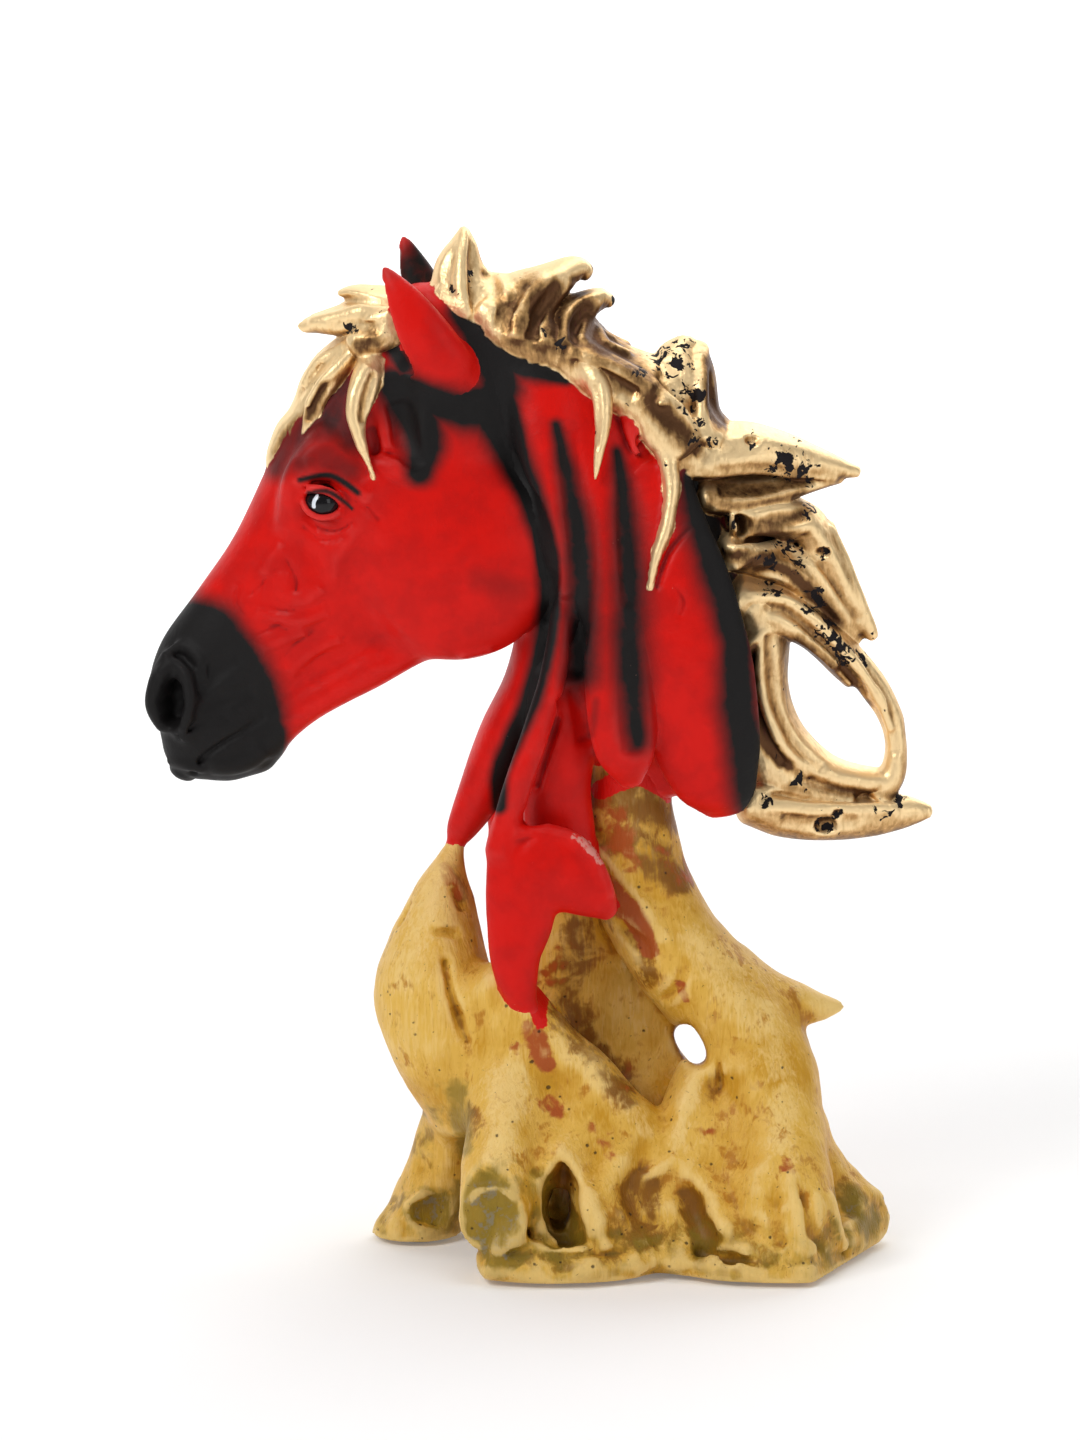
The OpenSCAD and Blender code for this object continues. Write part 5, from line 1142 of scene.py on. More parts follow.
# airbrushed black
blackStrokes = [
    sprayed(0.22, 1.0, (190, 660, 66), (205, 690, 70), (225, 715, 62), (215, 745, 66), (250, 740, 40)),
    sprayed(0.3, 1.0, (150, 660, 40), (150, 700, 40), (165, 740, 40)),
    sprayed(0.6, 1.0, (390, 382, 18), (408, 405, 24), (424, 436, 24), (420, 472, 15)),
    sprayed(0.6, 1.0, (405, 385, 16), (440, 402, 22), (474, 408, 26), (500, 388, 24), (482, 340, 22)),
    sprayed(0.6, 1.0, (478, 400, 18), (505, 440, 20), (520, 470, 18), (536, 512, 14), (549, 562, 13),
        (548, 628, 13), (534, 690, 12), (514, 738, 11), (500, 772, 10), (499, 806, 8)),
    sprayed(0.6, 1.0, (500, 379, 14), (514, 430, 12), (530, 492, 8), (544, 575, 7)),
    sprayed(0.6, 1.0, (462, 312, 16), (486, 335, 24), (512, 356, 22), (545, 370, 14), (566, 378, 8)),
    sprayed(1.0, 0.97, (556, 425, 6), (568, 480, 12), (580, 550, 18), (582, 620, 20), (580, 672, 20)),
    sprayed(1.0, 0.97, (617, 452, 6), (624, 500, 13), (629, 570, 19), (630, 650, 20), (634, 706, 17),
        (638, 742, 12)),
    sprayed(0.75, 1.0, (694, 478, 18), (704, 520, 24), (722, 580, 24), (736, 640, 20), (738, 700, 22),
        (748, 750, 24), (752, 800, 22)),
    sprayed(0.9, 0.75, (276, 470, 10), (300, 430, 22), (338, 420, 24), (352, 440, 18)),
    sprayed(0.8, 0.85, (318, 398, 22), (340, 385, 18), (330, 420, 20)),
    sprayed(0.9, 0.62, (300, 462, 12), (322, 456, 16), (350, 470, 12)),
    sprayed(0.7, 0.95, (300, 480, 3), (326, 475, 3.6), (342, 481, 3.6), (358, 493, 3)),
    sprayed(0.6, 0.9, (308, 493, 2), (326, 491, 2.6), (342, 500, 2.2), (352, 509, 1.6)),
    sprayed(0.9, 0.6, (385, 270, 7), (392, 276, 6)),
    sprayed(0.7, 0.95, (388, 342, 10), (404, 366, 11)),
    sprayed(1.0, 0.25, (478, 580, 10), (520, 590, 10)),
    sprayed(1.0, 0.4, (596, 700, 4), (592, 735, 3)),
]
farEarDusk = sprayed(0.6, 0.9, (412, 282, 24), (424, 264, 20), (432, 285, 22))
chipSpots = [
    (672, 360, 26), (690, 395, 24), (700, 420, 12), (680, 350, 18), (753, 441, 10), (693, 441, 10),
    (713, 444, 12), (640, 372, 10), (785, 462, 26), (806, 468, 22), (823, 553, 10), (790, 560, 26),
    (815, 600, 20), (826, 632, 22), (845, 655, 20), (808, 512, 14), (770, 590, 18), (826, 824, 15),
    (838, 813, 8), (883, 812, 16), (800, 783, 14), (770, 560, 16), (862, 660, 12), (730, 520, 12),
    (455, 290, 8), (470, 275, 8), (560, 345, 12), (592, 268, 6), (612, 300, 5), (350, 328, 10),
    (900, 800, 10), (765, 800, 12),
]
# painted shade on the gilding: undersides and valleys between the locks are coloured dark
goldShadeStrokes = [
    sprayed(1.0, 0.75, (508, 300, 14), (520, 326, 20), (540, 344, 14)),
    sprayed(1.0, 0.95, (534, 292, 18), (552, 316, 27), (572, 340, 20)),
    sprayed(1.0, 0.95, (580, 288, 12), (584, 322, 20), (604, 350, 18)),
    sprayed(1.0, 0.75, (604, 340, 12), (626, 366, 18), (650, 390, 14)),
    sprayed(0.8, 0.8, (650, 400, 12), (676, 428, 12), (692, 446, 10)),
    sprayed(0.8, 0.8, (706, 360, 6), (710, 395, 7), (722, 424, 7)),
    sprayed(1.0, 0.65, (700, 492, 13), (750, 492, 12), (800, 484, 8)),
    sprayed(1.0, 0.65, (722, 524, 10), (770, 530, 11), (806, 512, 7)),
    sprayed(0.8, 0.7, (730, 556, 9), (775, 562, 8), (806, 585, 8), (836, 622, 8)),
    sprayed(0.8, 0.9, (748, 650, 9), (750, 695, 9), (764, 740, 8), (786, 764, 6)),
    sprayed(0.9, 0.6, (800, 640, 6), (836, 668, 6), (866, 705, 5)),
    sprayed(0.9, 0.4, (790, 788, 5), (840, 794, 5), (890, 795, 4)),
    sprayed(0.9, 0.8, (372, 338, 9), (358, 345, 8)),
    sprayed(0.9, 0.7, (322, 385, 6), (312, 410, 6), (292, 430, 7), (278, 452, 6)),
]
woodStains = [
    sprayed(0.9, 0.85, (588, 800, 18), (612, 826, 22), (630, 868, 14)),
    sprayed(0.5, 1.0, (610, 890, 16), (636, 920, 14), (650, 950, 10)),
    sprayed(0.6, 0.9, (530, 1030, 16), (545, 1062, 12)),
    sprayed(0.6, 0.8, (545, 1100, 12), (560, 1112, 10)),
    sprayed(0.7, 0.7, (600, 1130, 14), (610, 1155, 10)),
    sprayed(0.7, 0.7, (505, 1035, 8), (520, 1050, 10)), sprayed(0.7, 0.8, (680, 985, 7), (686, 1000, 5)),
    sprayed(0.8, 0.6, (445, 870, 8), (455, 895, 9)), sprayed(0.9, 0.6, (560, 960, 24), (545, 1000, 20)),
    sprayed(0.9, 0.45, (620, 1060, 14), (632, 1100, 12)), sprayed(0.6, 0.5, (752, 978, 8), (756, 980, 8)),
    sprayed(0.6, 0.6, (785, 1165, 9), (790, 1170, 8)), sprayed(0.6, 0.5, (705, 1125, 11), (708, 1130, 9)),
    sprayed(0.9, 0.6, (600, 850, 16), (650, 850, 18), (690, 880, 10)),
    sprayed(0.8, 0.35, (425, 1022, 8), (432, 1026, 7)),
]
# painted shade: brown brushed into the recesses and onto the trunk top under the bust
woodShades = [
    sprayed(0.8, 0.85, (590, 920, 26), (575, 960, 24), (565, 1010, 22), (600, 1060, 18), (632, 1100, 16)),
    sprayed(0.8, 0.7, (632, 935, 14), (650, 975, 12)),
    sprayed(0.9, 0.7, (712, 1075, 10), (708, 1095, 12)),
    sprayed(0.5, 1.0, (560, 1185, 14), (560, 1225, 18)),
    sprayed(0.6, 0.9, (640, 1190, 22), (642, 1230, 26)),
    sprayed(0.6, 0.9, (690, 1200, 14), (704, 1235, 16)),
    sprayed(0.9, 0.6, (470, 1110, 12), (476, 1140, 10)),
    sprayed(0.9, 1.0, (600, 836, 26), (640, 852, 26), (682, 880, 16)),
    sprayed(1.0, 1.1, (590, 796, 24), (630, 796, 30), (674, 812, 24)),
    sprayed(0.8, 0.6, (452, 870, 12), (462, 905, 12)),
    sprayed(0.7, 0.7, (842, 1190, 14), (862, 1215, 18)),
    sprayed(0.9, 0.35, (802, 1000, 16), (822, 1006, 14)),
    sprayed(0.9, 0.55, (500, 1250, 14), (560, 1264, 12), (640, 1256, 12)),
    sprayed(0.9, 0.45, (700, 1262, 10), (790, 1268, 10)),
]
# olive brown on the feet, round the sawn ends, between the left leg and the log and down the stump's left
# side
mossStrokes = [
    sprayed(0.8, 0.6, (442, 1090, 20), (420, 1140, 26), (402, 1200, 24)),
    sprayed(0.7, 0.75, (500, 1180, 26), (500, 1240, 34)),
    sprayed(0.8, 1.0, (456, 1092, 15), (466, 1150, 11)),
    sprayed(0.7, 0.9, (540, 1185, 18), (562, 1245, 32)),
    sprayed(0.8, 0.7, (625, 1244, 22), (690, 1252, 22)),
    sprayed(0.8, 0.7, (770, 1264, 18), (838, 1256, 18)),
    sprayed(0.7, 1.0, (846, 1195, 16), (866, 1222, 20)),
    sprayed(0.9, 0.45, (400, 925, 10), (380, 980, 10), (395, 1030, 9)),
]
# painted light: paler colour on the broad upper faces
paleLightStrokes = [
    sprayed(0.9, 0.8, (690, 940, 14), (722, 975, 24), (765, 1030, 26), (784, 1090, 20), (782, 1140, 14)),
    sprayed(0.9, 0.8, (522, 1056, 16), (504, 1105, 20), (496, 1155, 16)),
    sprayed(0.9, 0.8, (556, 1042, 11), (606, 1086, 11), (648, 1130, 11)),
    sprayed(0.9, 0.8, (700, 1072, 8), (682, 1120, 8), (676, 1145, 8)),
    sprayed(0.9, 0.6, (440, 872, 10), (418, 930, 14), (408, 985, 12)),
    sprayed(0.9, 0.6, (798, 990, 10), (835, 1005, 8)),
    sprayed(0.9, 0.5, (600, 1130, 10), (590, 1170, 9), (600, 1225, 9)),
]
# where the top coat is rubbed thin and pale
scuffs = [
    sprayed(0.6, 1.0, (574, 836, 4), (588, 846, 5), (600, 862, 4)),
    sprayed(1.0, 0.3, (668, 560, 5), (676, 590, 6)),
]
redDrips = [
    sprayed(0.25, 1.0, (575, 700, 30), (560, 760, 30), (556, 800, 26)),
    sprayed(0.6, 0.85, (584, 915, 16), (562, 935, 12), (540, 1000, 10), (540, 1022, 8)),
    sprayed(0.4, 0.9, (600, 790, 10), (640, 775, 12), (672, 790, 14)),
    sprayed(0.5, 0.8, (610, 905, 10), (604, 880, 8)),
]
sawnSpots = [(488, 1206, 52), (496, 1236, 52), (430, 1212, 34), (862, 1222, 40)]


def nearSide(verts):
    folded = verts.copy()
    folded[:, 1] = -np.abs(folded[:, 1])
    return toPixel(folded)


def fade(value, low, high):
    t = np.clip((value - low) / (high - low), 0, 1)
    return t * t * (3 - 2 * t)


def airbrush(pixels, strokes):
    mask = np.zeros(len(pixels))
    for stroke in strokes:
        path = smoothRows(stroke["path"], 4)
        reach = path[:, 2].max() * (1 + stroke["soft"])
        low = path[:, :2].min(0) - reach
        high = path[:, :2].max(0) + reach
        near = np.nonzero(np.all((pixels > low) & (pixels < high), axis=1))[0]
        for a, b in zip(path[:-1], path[1:]):
            ab = b[:2] - a[:2]
            offset = pixels[near] - a[:2]
            t = np.clip(offset @ ab / max(ab @ ab, 1e-6), 0, 1)
            gap = np.linalg.norm(offset - t[:, None] * ab, axis=1)
            half = a[2] + (b[2] - a[2]) * t
            inner = half * (1 - stroke["soft"])
            dab = stroke["strength"] * (1 - fade(gap, inner, half * (1 + stroke["soft"])))
            mask[near] = np.maximum(mask[near], dab)
    return mask


def dabs(pixels, spots):
    mask = np.zeros(len(pixels))
    for px, py, half in spots:
        mask = np.maximum(mask, 1 - fade(np.linalg.norm(pixels - (px, py), axis=1), half * 0.3, half * 1.2))
    return mask


# painted light: faces turned towards this direction are coloured lighter, the far side mirroring the near
# side
paintLight = unitRows(np.array([(-0.45, -0.35, 0.8)]))[0]


def paintMasks(name, shape):
    verts = shape["verts"]
    pixels = nearSide(verts)
    family = clay[name]["family"]
    masks = dict(fine=shape["fine"], broad=shape["broad"])
    # painted light: how far each face turns towards the painted light
    lit = shape["normal"].copy()
    lit[:, 1] = -np.abs(lit[:, 1])
    masks["lit"] = lit @ paintLight
    if family == "wood":
        masks["stain"] = airbrush(pixels, woodStains)
        masks["shade"] = airbrush(pixels, woodShades)
        masks["red"] = airbrush(pixels, redDrips) * fade(-verts[:, 1], -2, 4)
        masks["sawn"] = dabs(pixels, sawnSpots) * fade(-shape["normal"][:, 1], 0.3, 0.75)
        masks["low"] = 1 - fade(verts[:, 2], 6, 42)
        masks["mossy"] = airbrush(pixels, mossStrokes)
        masks["paleLight"] = airbrush(pixels, paleLightStrokes)
        return masks
    masks["black"] = airbrush(pixels, blackStrokes + ([farEarDusk] if name == "far_ear" else []))
    if name == "near_ear":
        inside = fade(pixels[:, 1], 262, 300) * fade(pixels[:, 1] - pixels[:, 0] * 0.4, 186, 222)
        masks["black"] *= inside + 0.35 * (1 - fade(pixels[:, 1], 266, 288))
    masks["chips"] = dabs(pixels, chipSpots)
    # painted shade strokes for the gilding
    masks["goldShade"] = airbrush(pixels, goldShadeStrokes)
    masks["scuff"] = airbrush(pixels, scuffs)
    parts = allParts(verts)
    gap = familyDist(parts, "bust") - familyDist(parts, "gilt")
    masks["gild"] = np.clip(gap, -6, 6)
    return masks


class Wire:
    # a node socket that takes plain arithmetic
    def __init__(self, tree, socket):
        self.tree = tree
        self.socket = socket

    def node(self, kind, inputs, output=0, **settings):
        made = self.tree.nodes.new(kind)
        for key, value in settings.items():
            setattr(made, key, value)
        for key, value in inputs.items():
            if isinstance(value, Wire):
                self.tree.links.new(value.socket, made.inputs[key])
            else:
                made.inputs[key].default_value = value
        return Wire(self.tree, made.outputs[output])

    def math(self, operation, left, right):
        return self.node("ShaderNodeMath", {0: left, 1: right}, operation=operation)

    def __add__(self, other):
        return self.math("ADD", self, other)

    def __radd__(self, other):
        return self.math("ADD", other, self)

    def __sub__(self, other):
        return self.math("SUBTRACT", self, other)

    def __rsub__(self, other):
        return self.math("SUBTRACT", other, self)

    def __mul__(self, other):
        return self.math("MULTIPLY", self, other)


def startMaterial(name):
    material = bpy.data.materials.new(name)
    material.use_nodes = True
    tree = material.node_tree
    shader = tree.nodes["Principled BSDF"]
    coords = Wire(tree, tree.nodes.new("ShaderNodeTexCoord").outputs["Object"])
    return material, shader, coords


def attribute(wire, name):
    return wire.node("ShaderNodeAttribute", {}, "Fac", attribute_name=name)


def stretched(coords, x, y, z):
    return coords.node("ShaderNodeMapping", {"Vector": coords, "Scale": (x, y, z)})


def noise(coords, scale, detail=3.0, distortion=0.0):
    inputs = {"Vector": coords, "Scale": scale, "Detail": detail, "Distortion": distortion}
    return coords.node("ShaderNodeTexNoise", inputs)


def swing(wire, amount):
    # evens a noise out round nothing
    return (wire - 0.5) * amount


def pits(coords, scale):
    return coords.node("ShaderNodeTexVoronoi", {"Vector": coords, "Scale": scale}, "Distance")


def step(value, low, high):
    inputs = {"Value": value, "From Min": low, "From Max": high}
    return value.node("ShaderNodeMapRange", inputs, interpolation_type="SMOOTHSTEP")


def blend(factor, first, second):
    inputs = {0: factor, 6: first, 7: second}
    return factor.node("ShaderNodeMix", inputs, 2, data_type="RGBA")


def feed(shader, name, wire):
    wire.tree.links.new(wire.socket, shader.inputs[name])


def bumped(height, strength, distance):
    return height.node("ShaderNodeBump", {"Height": height, "Strength": strength, "Distance": distance})


# colours are linear
# the three golds are a lit, a middle and a shaded copy of one gilding, for painted light and shade
paintSet = dict(
    red=(0.66, 0.006, 0.003, 1), deepRed=(0.24, 0.002, 0.003, 1), paleRed=(0.74, 0.05, 0.045, 1),
    black=(0.010, 0.009, 0.009, 1), goldLit=(1.0, 0.74, 0.40, 1), goldMid=(0.60, 0.35, 0.135, 1),
    goldShaded=(0.11, 0.05, 0.022, 1), chip=(0.012, 0.009, 0.010, 1), purple=(0.10, 0.008, 0.022, 1),
    scuff=(0.72, 0.36, 0.30, 1), sheen=0.14)


def castPaint():
    material, shader, coords = startMaterial("castPaint")
    cloud = noise(coords, 120.0, 3.0)
    blotch = noise(coords, 330.0, 4.0, 0.6)
    grit = noise(coords, 1300.0, 3.0)
    streak = noise(stretched(coords, 900.0, 900.0, 260.0), 1.0, 3.0, 0.4)
    fine = attribute(coords, "fine")
    broad = attribute(coords, "broad")
    black = attribute(coords, "black") * 1.08 + swing(blotch, 0.16) + swing(cloud, 0.25)
    black = black.node("ShaderNodeClamp", {"Value": black})
    # painted shade: the red goes deep red in recesses and creases, besides some random cloudiness
    hollow = step(broad + fine * 2.0 + swing(blotch, 0.3), 0.12, 0.95)
    # painted highlight: the red goes paler on ridges
    ridgeHighlight = step(0 - fine - broad * 0.3 + swing(blotch, 0.12), 0.05, 0.40)
    red = blend(step(cloud, 0.34, 0.66) * 0.22 + hollow * 0.8, paintSet["red"], paintSet["deepRed"])
    red = blend(ridgeHighlight * 0.55, red, paintSet["paleRed"])
    body = blend(black, red, paintSet["black"])
    rubbed = step(attribute(coords, "scuff") * 0.6 + swing(blotch, 1.0) + swing(grit, 0.9), 0.36, 0.62)
    body = blend(rubbed * 0.7, body, paintSet["scuff"])
    ragged = noise(coords, 140.0, 2.0, 1.0)
    edge = attribute(coords, "gild") + swing(ragged, 4.0) + swing(blotch, 0.6) + swing(grit, 0.3)
    gilt = step(edge, -0.25, 0.3)
    # painted light and shade on the gilding: lighter where it faces the painted light, darker in recesses
    # and under the shade strokes, over random tone
    lit = attribute(coords, "lit") * 0.5 + 0.5
    goldShade = attribute(coords, "goldShade")
    toneAndLight = lit + swing(blotch, 0.5) + swing(streak, 0.5) - broad * 0.45 - fine * 0.9 - goldShade * 0.90
    gold = blend(step(toneAndLight, 0.02, 0.55), paintSet["goldShaded"], paintSet["goldMid"])
    gold = blend(step(toneAndLight, 0.36, 0.84), gold, paintSet["goldLit"])
    flaked = noise(coords, 420.0, 5.0, 0.8) + attribute(coords, "chips") * 0.22 + swing(grit, 0.14)
    worn = step(flaked, 0.70, 0.735)
    # dark purple base in recesses and under the shade strokes: partly worn gilding, partly painted shade
    bareAndShade = step(broad * 0.6 + goldShade * 0.25 + swing(blotch, 1.5) + swing(streak, 0.9), 0.50, 0.95) * 0.55
    gold = blend(bareAndShade, gold, paintSet["purple"])
    gold = blend(worn, gold, paintSet["chip"])
    metal = gilt * (1 - worn) * (1 - bareAndShade * 0.8)
    feed(shader, "Base Color", blend(gilt, body, gold))
    feed(shader, "Metallic", metal * 0.78)
    satin = 0.40 + black * 0.14 + swing(cloud, 0.1)
    feed(shader, "Roughness", satin * (1 - gilt) + gilt * (0.43 + swing(streak, 0.30) + worn * 0.2))
    shader.inputs["Specular IOR Level"].default_value = paintSet["sheen"]
    pinholes = 1 - step(pits(coords, 520.0), 0.05, 0.13)
    leaf = gilt * (streak * 0.35 + grit * 0.22 + 0.25) - gilt * worn * 0.35
    height = cloud * 0.9 + blotch * 0.35 + grit * 0.12 + leaf - pinholes * 0.12
    feed(shader, "Normal", bumped(height, 0.55, 0.0006))
    return material


woodSet = dict(
    pale=(0.86, 0.60, 0.215, 1), cream=(0.76, 0.46, 0.085, 1), ochre=(0.58, 0.29, 0.018, 1),
    amber=(0.46, 0.18, 0.010, 1), rust=(0.40, 0.085, 0.015, 1), umber=(0.22, 0.085, 0.008, 1),
    dark=(0.075, 0.030, 0.004, 1), moss=(0.235, 0.155, 0.014, 1), slate=(0.22, 0.22, 0.20, 1),
    pit=(0.02, 0.012, 0.006, 1), sheen=0.2)


def driftwood():
    material, shader, coords = startMaterial("driftwood")
    drift = noise(coords, 45.0, 4.0, 0.5)
    patch = noise(coords, 110.0, 5.0, 0.7)
    blotch = noise(coords, 320.0, 4.0, 0.5)
    grit = noise(coords, 1200.0, 3.0)
    grain = noise(stretched(coords, 620.0, 620.0, 80.0), 1.0, 4.0, 1.6)
    fine = attribute(coords, "fine")
    broad = attribute(coords, "broad")
    low = attribute(coords, "low")
    # painted shade from the shade strokes, broken up at random
    shade = attribute(coords, "shade") * (0.45 + patch * 1.1)
    lit = attribute(coords, "lit")
    # painted light and shade on the wood: paler where it faces the painted light, darker in recesses, over
    # random tone
    toneAndLight = swing(drift, 1.3) + swing(patch, 1.1) + swing(grain, 0.9) + lit * 0.35 - broad * 0.3
    colour = blend(step(toneAndLight, -0.30, 0.40), woodSet["ochre"], woodSet["cream"])
    bristles = noise(stretched(coords, 900.0, 900.0, 110.0), 1.0, 4.0, 1.0)
    brushed = bristles + swing(drift, 0.9) - broad * 0.25
    colour = blend(step(brushed, 0.56, 0.84) * 0.42, colour, woodSet["pale"])
    # painted light: the upper faces go pale, broken up by the brush streaks
    paleLit = attribute(coords, "paleLight") + swing(brushed, 1.4) + swing(patch, 0.8)
    colour = blend(step(paleLit, 0.30, 1.05) * 0.8, colour, woodSet["pale"])
    cracks = step(noise(stretched(coords, 1400.0, 1400.0, 130.0), 1.0, 2.0, 2.4), 0.62, 0.74)
    colour = blend(cracks * 0.5, colour, woodSet["amber"])
    # random warm amber patches, deepened by painted shade in recesses and under the shade strokes
    warmAndShade = swing(patch, 1.6) + swing(blotch, 1.0) + swing(grain, 0.9)
    warmAndShade = warmAndShade + broad * 0.3 + low * 0.15 + shade * 0.3
    colour = blend(step(warmAndShade, 0.08, 0.46) * 0.9, colour, woodSet["amber"])
    # painted shade: umber where the shade strokes and the warm patches add up
    colour = blend(step(shade + warmAndShade * 0.9, 0.50, 1.25) * 0.9, colour, woodSet["umber"])
    rusty = attribute(coords, "stain") + swing(patch, 1.3) + swing(blotch, 1.1)
    colour = blend(step(rusty, 0.50, 0.85), colour, woodSet["rust"])
    # olive towards the bottom of the base
    lowOlive = low + swing(patch, 1.2) + swing(blotch, 0.6)
    colour = blend(step(lowOlive, 0.70, 1.35) * 0.8, colour, woodSet["moss"])
    # olive brown where the olive strokes lie, a little more in recesses
    oliveCover = attribute(coords, "mossy") + swing(patch, 1.5) + swing(blotch, 0.8) + broad * 0.3
    colour = blend(step(oliveCover, 0.42, 1.05) * 0.75, colour, woodSet["moss"])
    sawn = attribute(coords, "sawn")
    colour = blend(step(sawn + swing(blotch, 1.3), 0.30, 0.80) * 0.8, colour, woodSet["moss"])
    grey = sawn + swing(blotch, 1.8) + swing(grit, 0.9)
    colour = blend(step(grey, 1.00, 1.35) * 0.5, colour, woodSet["slate"])
    # painted shade: dark brown in recesses and creases
    hollow = step(broad * 0.8 + fine * 1.6 + swing(blotch, 0.8) + swing(patch, 0.6), 0.55, 2.2)
    colour = blend(hollow * 0.8, colour, woodSet["dark"])
    # painted highlight: pale on ridges
    ridgeHighlight = step(0 - fine * 1.4 - broad * 0.4 + swing(blotch, 0.45) + swing(grain, 0.4), 0.16, 0.60)
    colour = blend(ridgeHighlight * 0.6, colour, woodSet["pale"])
    holes = 1 - step(pits(coords, 210.0) + swing(grit, 0.12) + swing(patch, 0.3), 0.03, 0.10)
    specks = step(noise(coords, 800.0, 4.0, 0.4) + low * 0.03, 0.69, 0.75)
    colour = blend(holes * 0.8, colour, woodSet["pit"])
    colour = blend(specks * 0.65, colour, woodSet["dark"])
    paint = step(attribute(coords, "red") + swing(blotch, 0.5) + swing(grit, 0.5), 0.42, 0.60)
    colour = blend(paint, colour, paintSet["red"])
    feed(shader, "Base Color", colour)
    feed(shader, "Roughness", 0.42 + swing(blotch, 0.2) + hollow * 0.15)
    shader.inputs["Specular IOR Level"].default_value = woodSet["sheen"]
    relief = drift * 0.6 + patch * 0.7 + grain * 0.6 + blotch * 0.3 + grit * 0.12
    height = relief - holes * 0.6 - specks * 0.15
    feed(shader, "Normal", bumped(height, 0.6, 0.0008))
    return material


eyeSet = dict(
    rings=40, turns=64, swell=0.035, dark=(0.006, 0.005, 0.006, 1), glint=(0.75, 0.80, 0.86, 1),
    glintAt=(1.0, -0.3), glintBend=3.0)


def eyeGloss():
    material, shader, coords = startMaterial("eyeGloss")
    glint = step(attribute(coords, "glint"), 0.45, 0.6)
    feed(shader, "Base Color", blend(glint, eyeSet["dark"], eyeSet["glint"]))
    shader.inputs["Roughness"].default_value = 0.12
    shader.inputs["Specular IOR Level"].default_value = 0.2
    shader.inputs["Coat Weight"].default_value = 0.2
    shader.inputs["Coat Roughness"].default_value = 0.04
    return material


feltSet = dict(dark=(0.02, 0.05, 0.03, 1), light=(0.06, 0.12, 0.07, 1))
steelSet = dict(dark=(0.42, 0.42, 0.43, 1), light=(0.6, 0.6, 0.6, 1))


def feltCloth():
    material, shader, coords = startMaterial("feltCloth")
    fibre = noise(coords, 1500.0, 5.0, 1.5)
    feed(shader, "Base Color", blend(fibre, feltSet["dark"], feltSet["light"]))
    shader.inputs["Roughness"].default_value = 0.95
    feed(shader, "Normal", bumped(fibre, 0.6, 0.0005))
    return material


def plainSteel():
    material, shader, coords = startMaterial("plainSteel")
    turned = noise(stretched(coords, 200.0, 200.0, 2600.0), 1.0, 3.0)
    feed(shader, "Base Color", blend(turned, steelSet["dark"], steelSet["light"]))
    shader.inputs["Metallic"].default_value = 1.0
    feed(shader, "Roughness", 0.3 + turned * 0.15)
    return material


def buildMesh(name, verts, quads, masks):
    mesh = bpy.data.meshes.new(name)
    mesh.vertices.add(len(verts))
    mesh.vertices.foreach_set("co", (verts * toMetres).astype(np.float32).ravel())
    mesh.loops.add(quads.size)
    mesh.loops.foreach_set("vertex_index", quads.astype(np.int32).ravel())
    mesh.polygons.add(len(quads))
    mesh.polygons.foreach_set("loop_start", np.arange(0, quads.size, 4, dtype=np.int32))
    mesh.polygons.foreach_set("use_smooth", np.ones(len(quads), bool))
    for label, values in masks.items():
        mesh.attributes.new(label, "FLOAT", "POINT").data.foreach_set("value", values.astype(np.float32))
    mesh.update(calc_edges=True)
    mesh.validate()
    piece = bpy.data.objects.new(name, mesh)
    bpy.context.scene.collection.objects.link(piece)
    return piece


def mount(piece, node, material):
    piece.data.materials.append(material)
    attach(piece, "root")
    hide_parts(node)


def makeEye(name, side, material):
    rings = eyeSet["rings"]
    turns = eyeSet["turns"]
    centre = onHead(headSet["eyeAlong"], headSet["eyeUp"], side * headSet["eyeSide"])
    tilt = np.linspace(0.0, math.pi, rings + 2)[1:-1]
    spin = np.linspace(0, 2 * math.pi, turns, endpoint=False)
    a, b = np.meshgrid(tilt, spin, indexing="ij")
    ball = np.stack((np.sin(a) * np.cos(b), side * np.cos(a), np.sin(a) * np.sin(b)), axis=-1)
    ball = np.vstack((ball.reshape(-1, 3), (0, side, 0), (0, -side, 0)))
    iris = np.arccos(np.clip(ball[:, 1] * side, -1, 1))
    swell = 1 + eyeSet["swell"] * (1 - fade(iris, 0.3, 0.75))
    verts = centre + ball * (headSet["eyeRadius"] * swell)[:, None]
    i, j = np.meshgrid(np.arange(rings - 1), np.arange(turns), indexing="ij")
    here = i * turns + j
    beside = i * turns + (j + 1) % turns
    quads = np.stack((here, beside, beside + turns, here + turns), axis=-1).reshape(-1, 4)
    first = np.arange(0, turns, 2)
    ring = np.stack((first + 2, first + 1, first), axis=-1) % turns
    front = np.column_stack((np.full(len(first), rings * turns), ring))
    back = np.column_stack((np.full(len(first), rings * turns + 1), ring[:, ::-1] + (rings - 1) * turns))
    quads = np.vstack((quads, front, back))
    if side > 0:
        quads = quads[:, ::-1]
    flat = ball[:, (0, 2)] * headSet["eyeRadius"]
    crescent = np.abs(np.linalg.norm(flat - eyeSet["glintAt"], axis=1) - eyeSet["glintBend"])
    glint = (1 - fade(crescent, 0.25, 0.75)) * fade(-flat[:, 0], 0.4, 1.2) * fade(flat[:, 1], -1.6, -0.6)
    piece = buildMesh(name + "_bead", verts, quads, dict(glint=glint))
    mount(piece, name, material)


def dressNode(node, material):
    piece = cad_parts[node]
    piece.data.materials.clear()
    piece.data.materials.append(material)


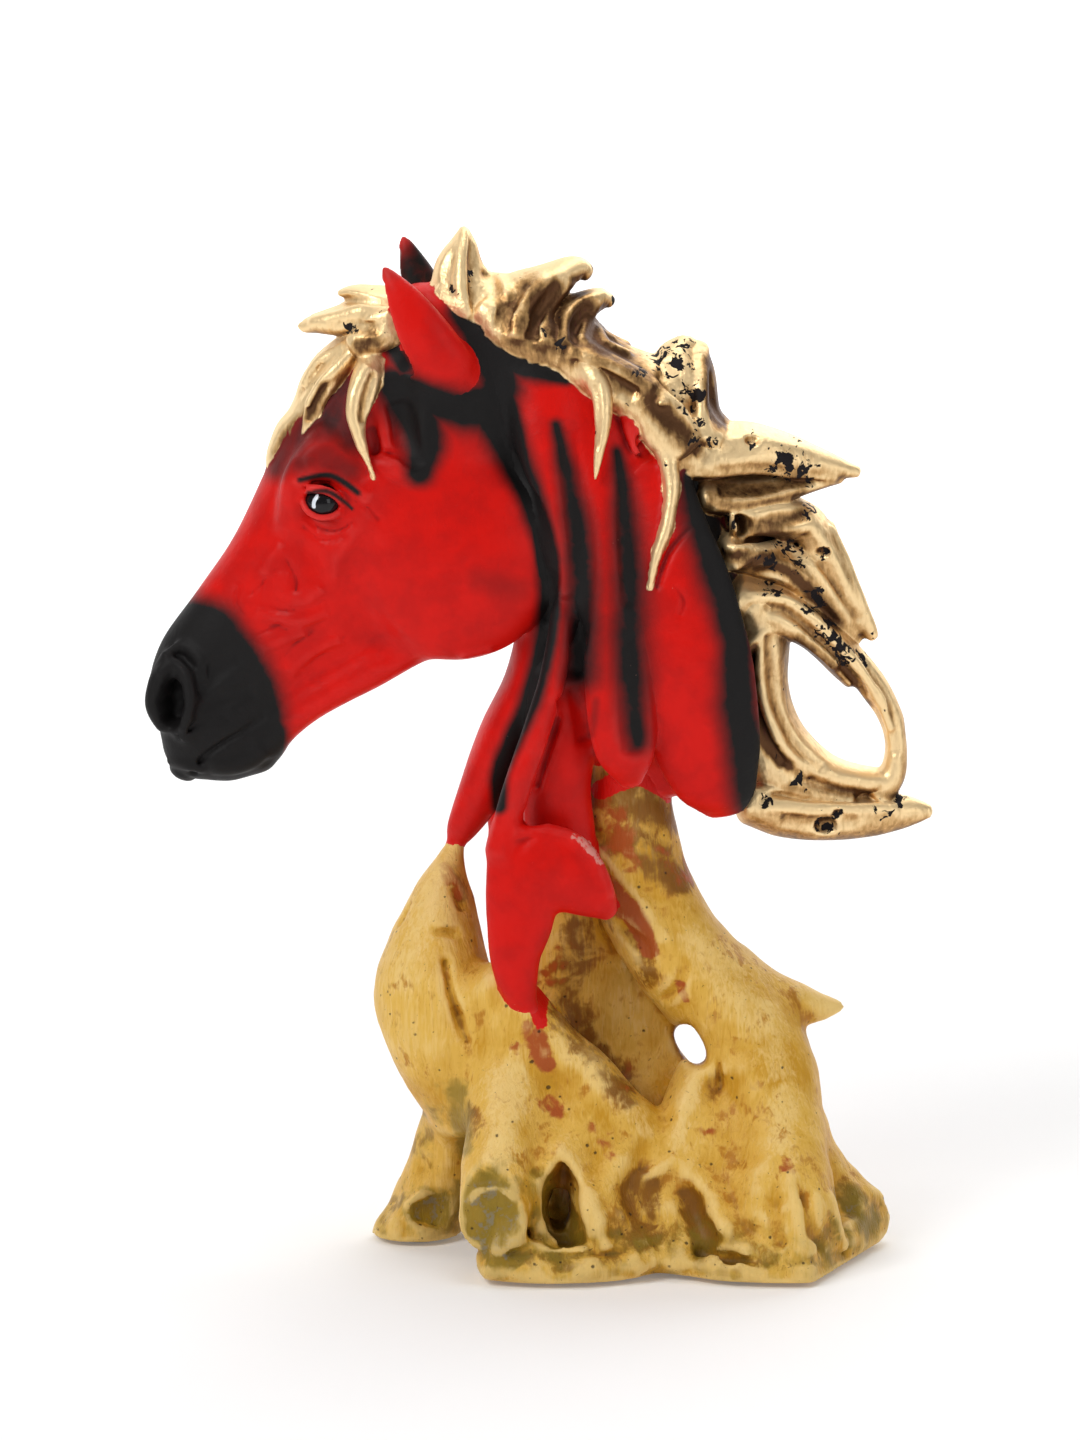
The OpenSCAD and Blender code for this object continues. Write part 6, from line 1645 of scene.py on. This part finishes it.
stageSet = dict(
    front=-4.0, back=2.2, bend=0.8, half=5.0, tall=4.0, glow=0.8, glowFrom=0.15, world=0.22,
    nearGlow=(0.17, 0.17, 0.17, 1), white=(1, 1, 1, 1), floorDark=(0.86, 0.86, 0.86, 1),
    floorLight=(0.88, 0.88, 0.88, 1), aim=(0, 0, 0.14))
# each light: name, place, size and power
lightSet = (
    ("keyLight", (-0.75, -0.8, 0.95), 0.6, 9.0), ("fillLight", (1.0, -0.9, 0.5), 0.7, 3.0),
    ("topLight", (0.1, 0.1, 1.2), 0.7, 4.0), ("backLight", (0.5, 0.9, 0.8), 0.8, 3.0))


def makeStage():
    back = stageSet["back"]
    bend = stageSet["bend"]
    profile = [(stageSet["front"], 0.0), (back - bend, 0.0)]
    for a in np.linspace(0.1, math.pi / 2, 16):
        profile.append((back - bend + bend * math.sin(a), bend - bend * math.cos(a)))
    profile.append((back, stageSet["tall"]))
    half = stageSet["half"]
    verts = [(side * half, y, z) for y, z in profile for side in (-1, 1)]
    faces = [(2 * i, 2 * i + 1, 2 * i + 3, 2 * i + 2) for i in range(len(profile) - 1)]
    mesh = bpy.data.meshes.new("studioSweep")
    mesh.from_pydata(verts, [], faces)
    floor = bpy.data.objects.new("studioSweep", mesh)
    bpy.context.scene.collection.objects.link(floor)
    material, shader, coords = startMaterial("paleSweep")
    feed(shader, "Base Color", blend(noise(coords, 30.0), stageSet["floorDark"], stageSet["floorLight"]))
    shader.inputs["Roughness"].default_value = 0.9
    depth = coords.node("ShaderNodeSeparateXYZ", {"Vector": coords}, 1)
    away = step(depth, stageSet["glowFrom"], back)
    feed(shader, "Emission Color", blend(away, stageSet["nearGlow"], stageSet["white"]))
    shader.inputs["Emission Strength"].default_value = stageSet["glow"]
    mesh.materials.append(material)
    world = bpy.data.worlds.new("studioWorld")
    bpy.context.scene.world = world
    world.use_nodes = True
    world.node_tree.nodes["Background"].inputs["Color"].default_value = stageSet["white"]
    world.node_tree.nodes["Background"].inputs["Strength"].default_value = stageSet["world"]
    for label, place, size, power in lightSet:
        data = bpy.data.lights.new(label, "AREA")
        data.size = size
        data.energy = power
        light = bpy.data.objects.new(label, data)
        light.location = place
        light.rotation_euler = (Vector(stageSet["aim"]) - Vector(place)).to_track_quat("-Z", "Y").to_euler()
        bpy.context.scene.collection.objects.link(light)


# how fine each skin is, in mm
skinSet = dict(driftwood_base=0.95, head=0.62, neck=0.62, gilt=0.5, bust=0.6)

makeCamera()
shapeBase()
shapeHead()
shapeEyes()
shapeNeck()
shapeEars()
shapeLocks()
print("clay pressed:", len(clay), "pieces")
detailBase()
detailHead()
detailNeck()
detailLocks()
print("lines drawn:", sum(len(item["bits"]) for item in clay.values()), "bits of clay")

paint = castPaint()
wood = driftwood()
slots = dict(bust="red_paint", gilt="gilt", wood="driftwood_resin")
for name in clay:
    family = clay[name]["family"]
    shape = skin(name, skinSet.get(name, skinSet.get(family)))
    piece = buildMesh(name + "_cast", shape["verts"], shape["quads"], paintMasks(name, shape))
    slot = "black_paint" if name == "front_ribbon" else slots[family]
    mount(piece, name, wood if family == "wood" else paint)
    print("skinned", name, len(shape["quads"]), "faces")
gloss = eyeGloss()
makeEye("near_eye", -1, gloss)
makeEye("far_eye", 1, gloss)
print("eyes set")
steel = plainSteel()
dressNode("felt_pads", feltCloth())
dressNode("armature_rod", steel)
dressNode("head_pin", steel)
makeStage()
bpy.context.scene.view_settings.view_transform = "Standard"
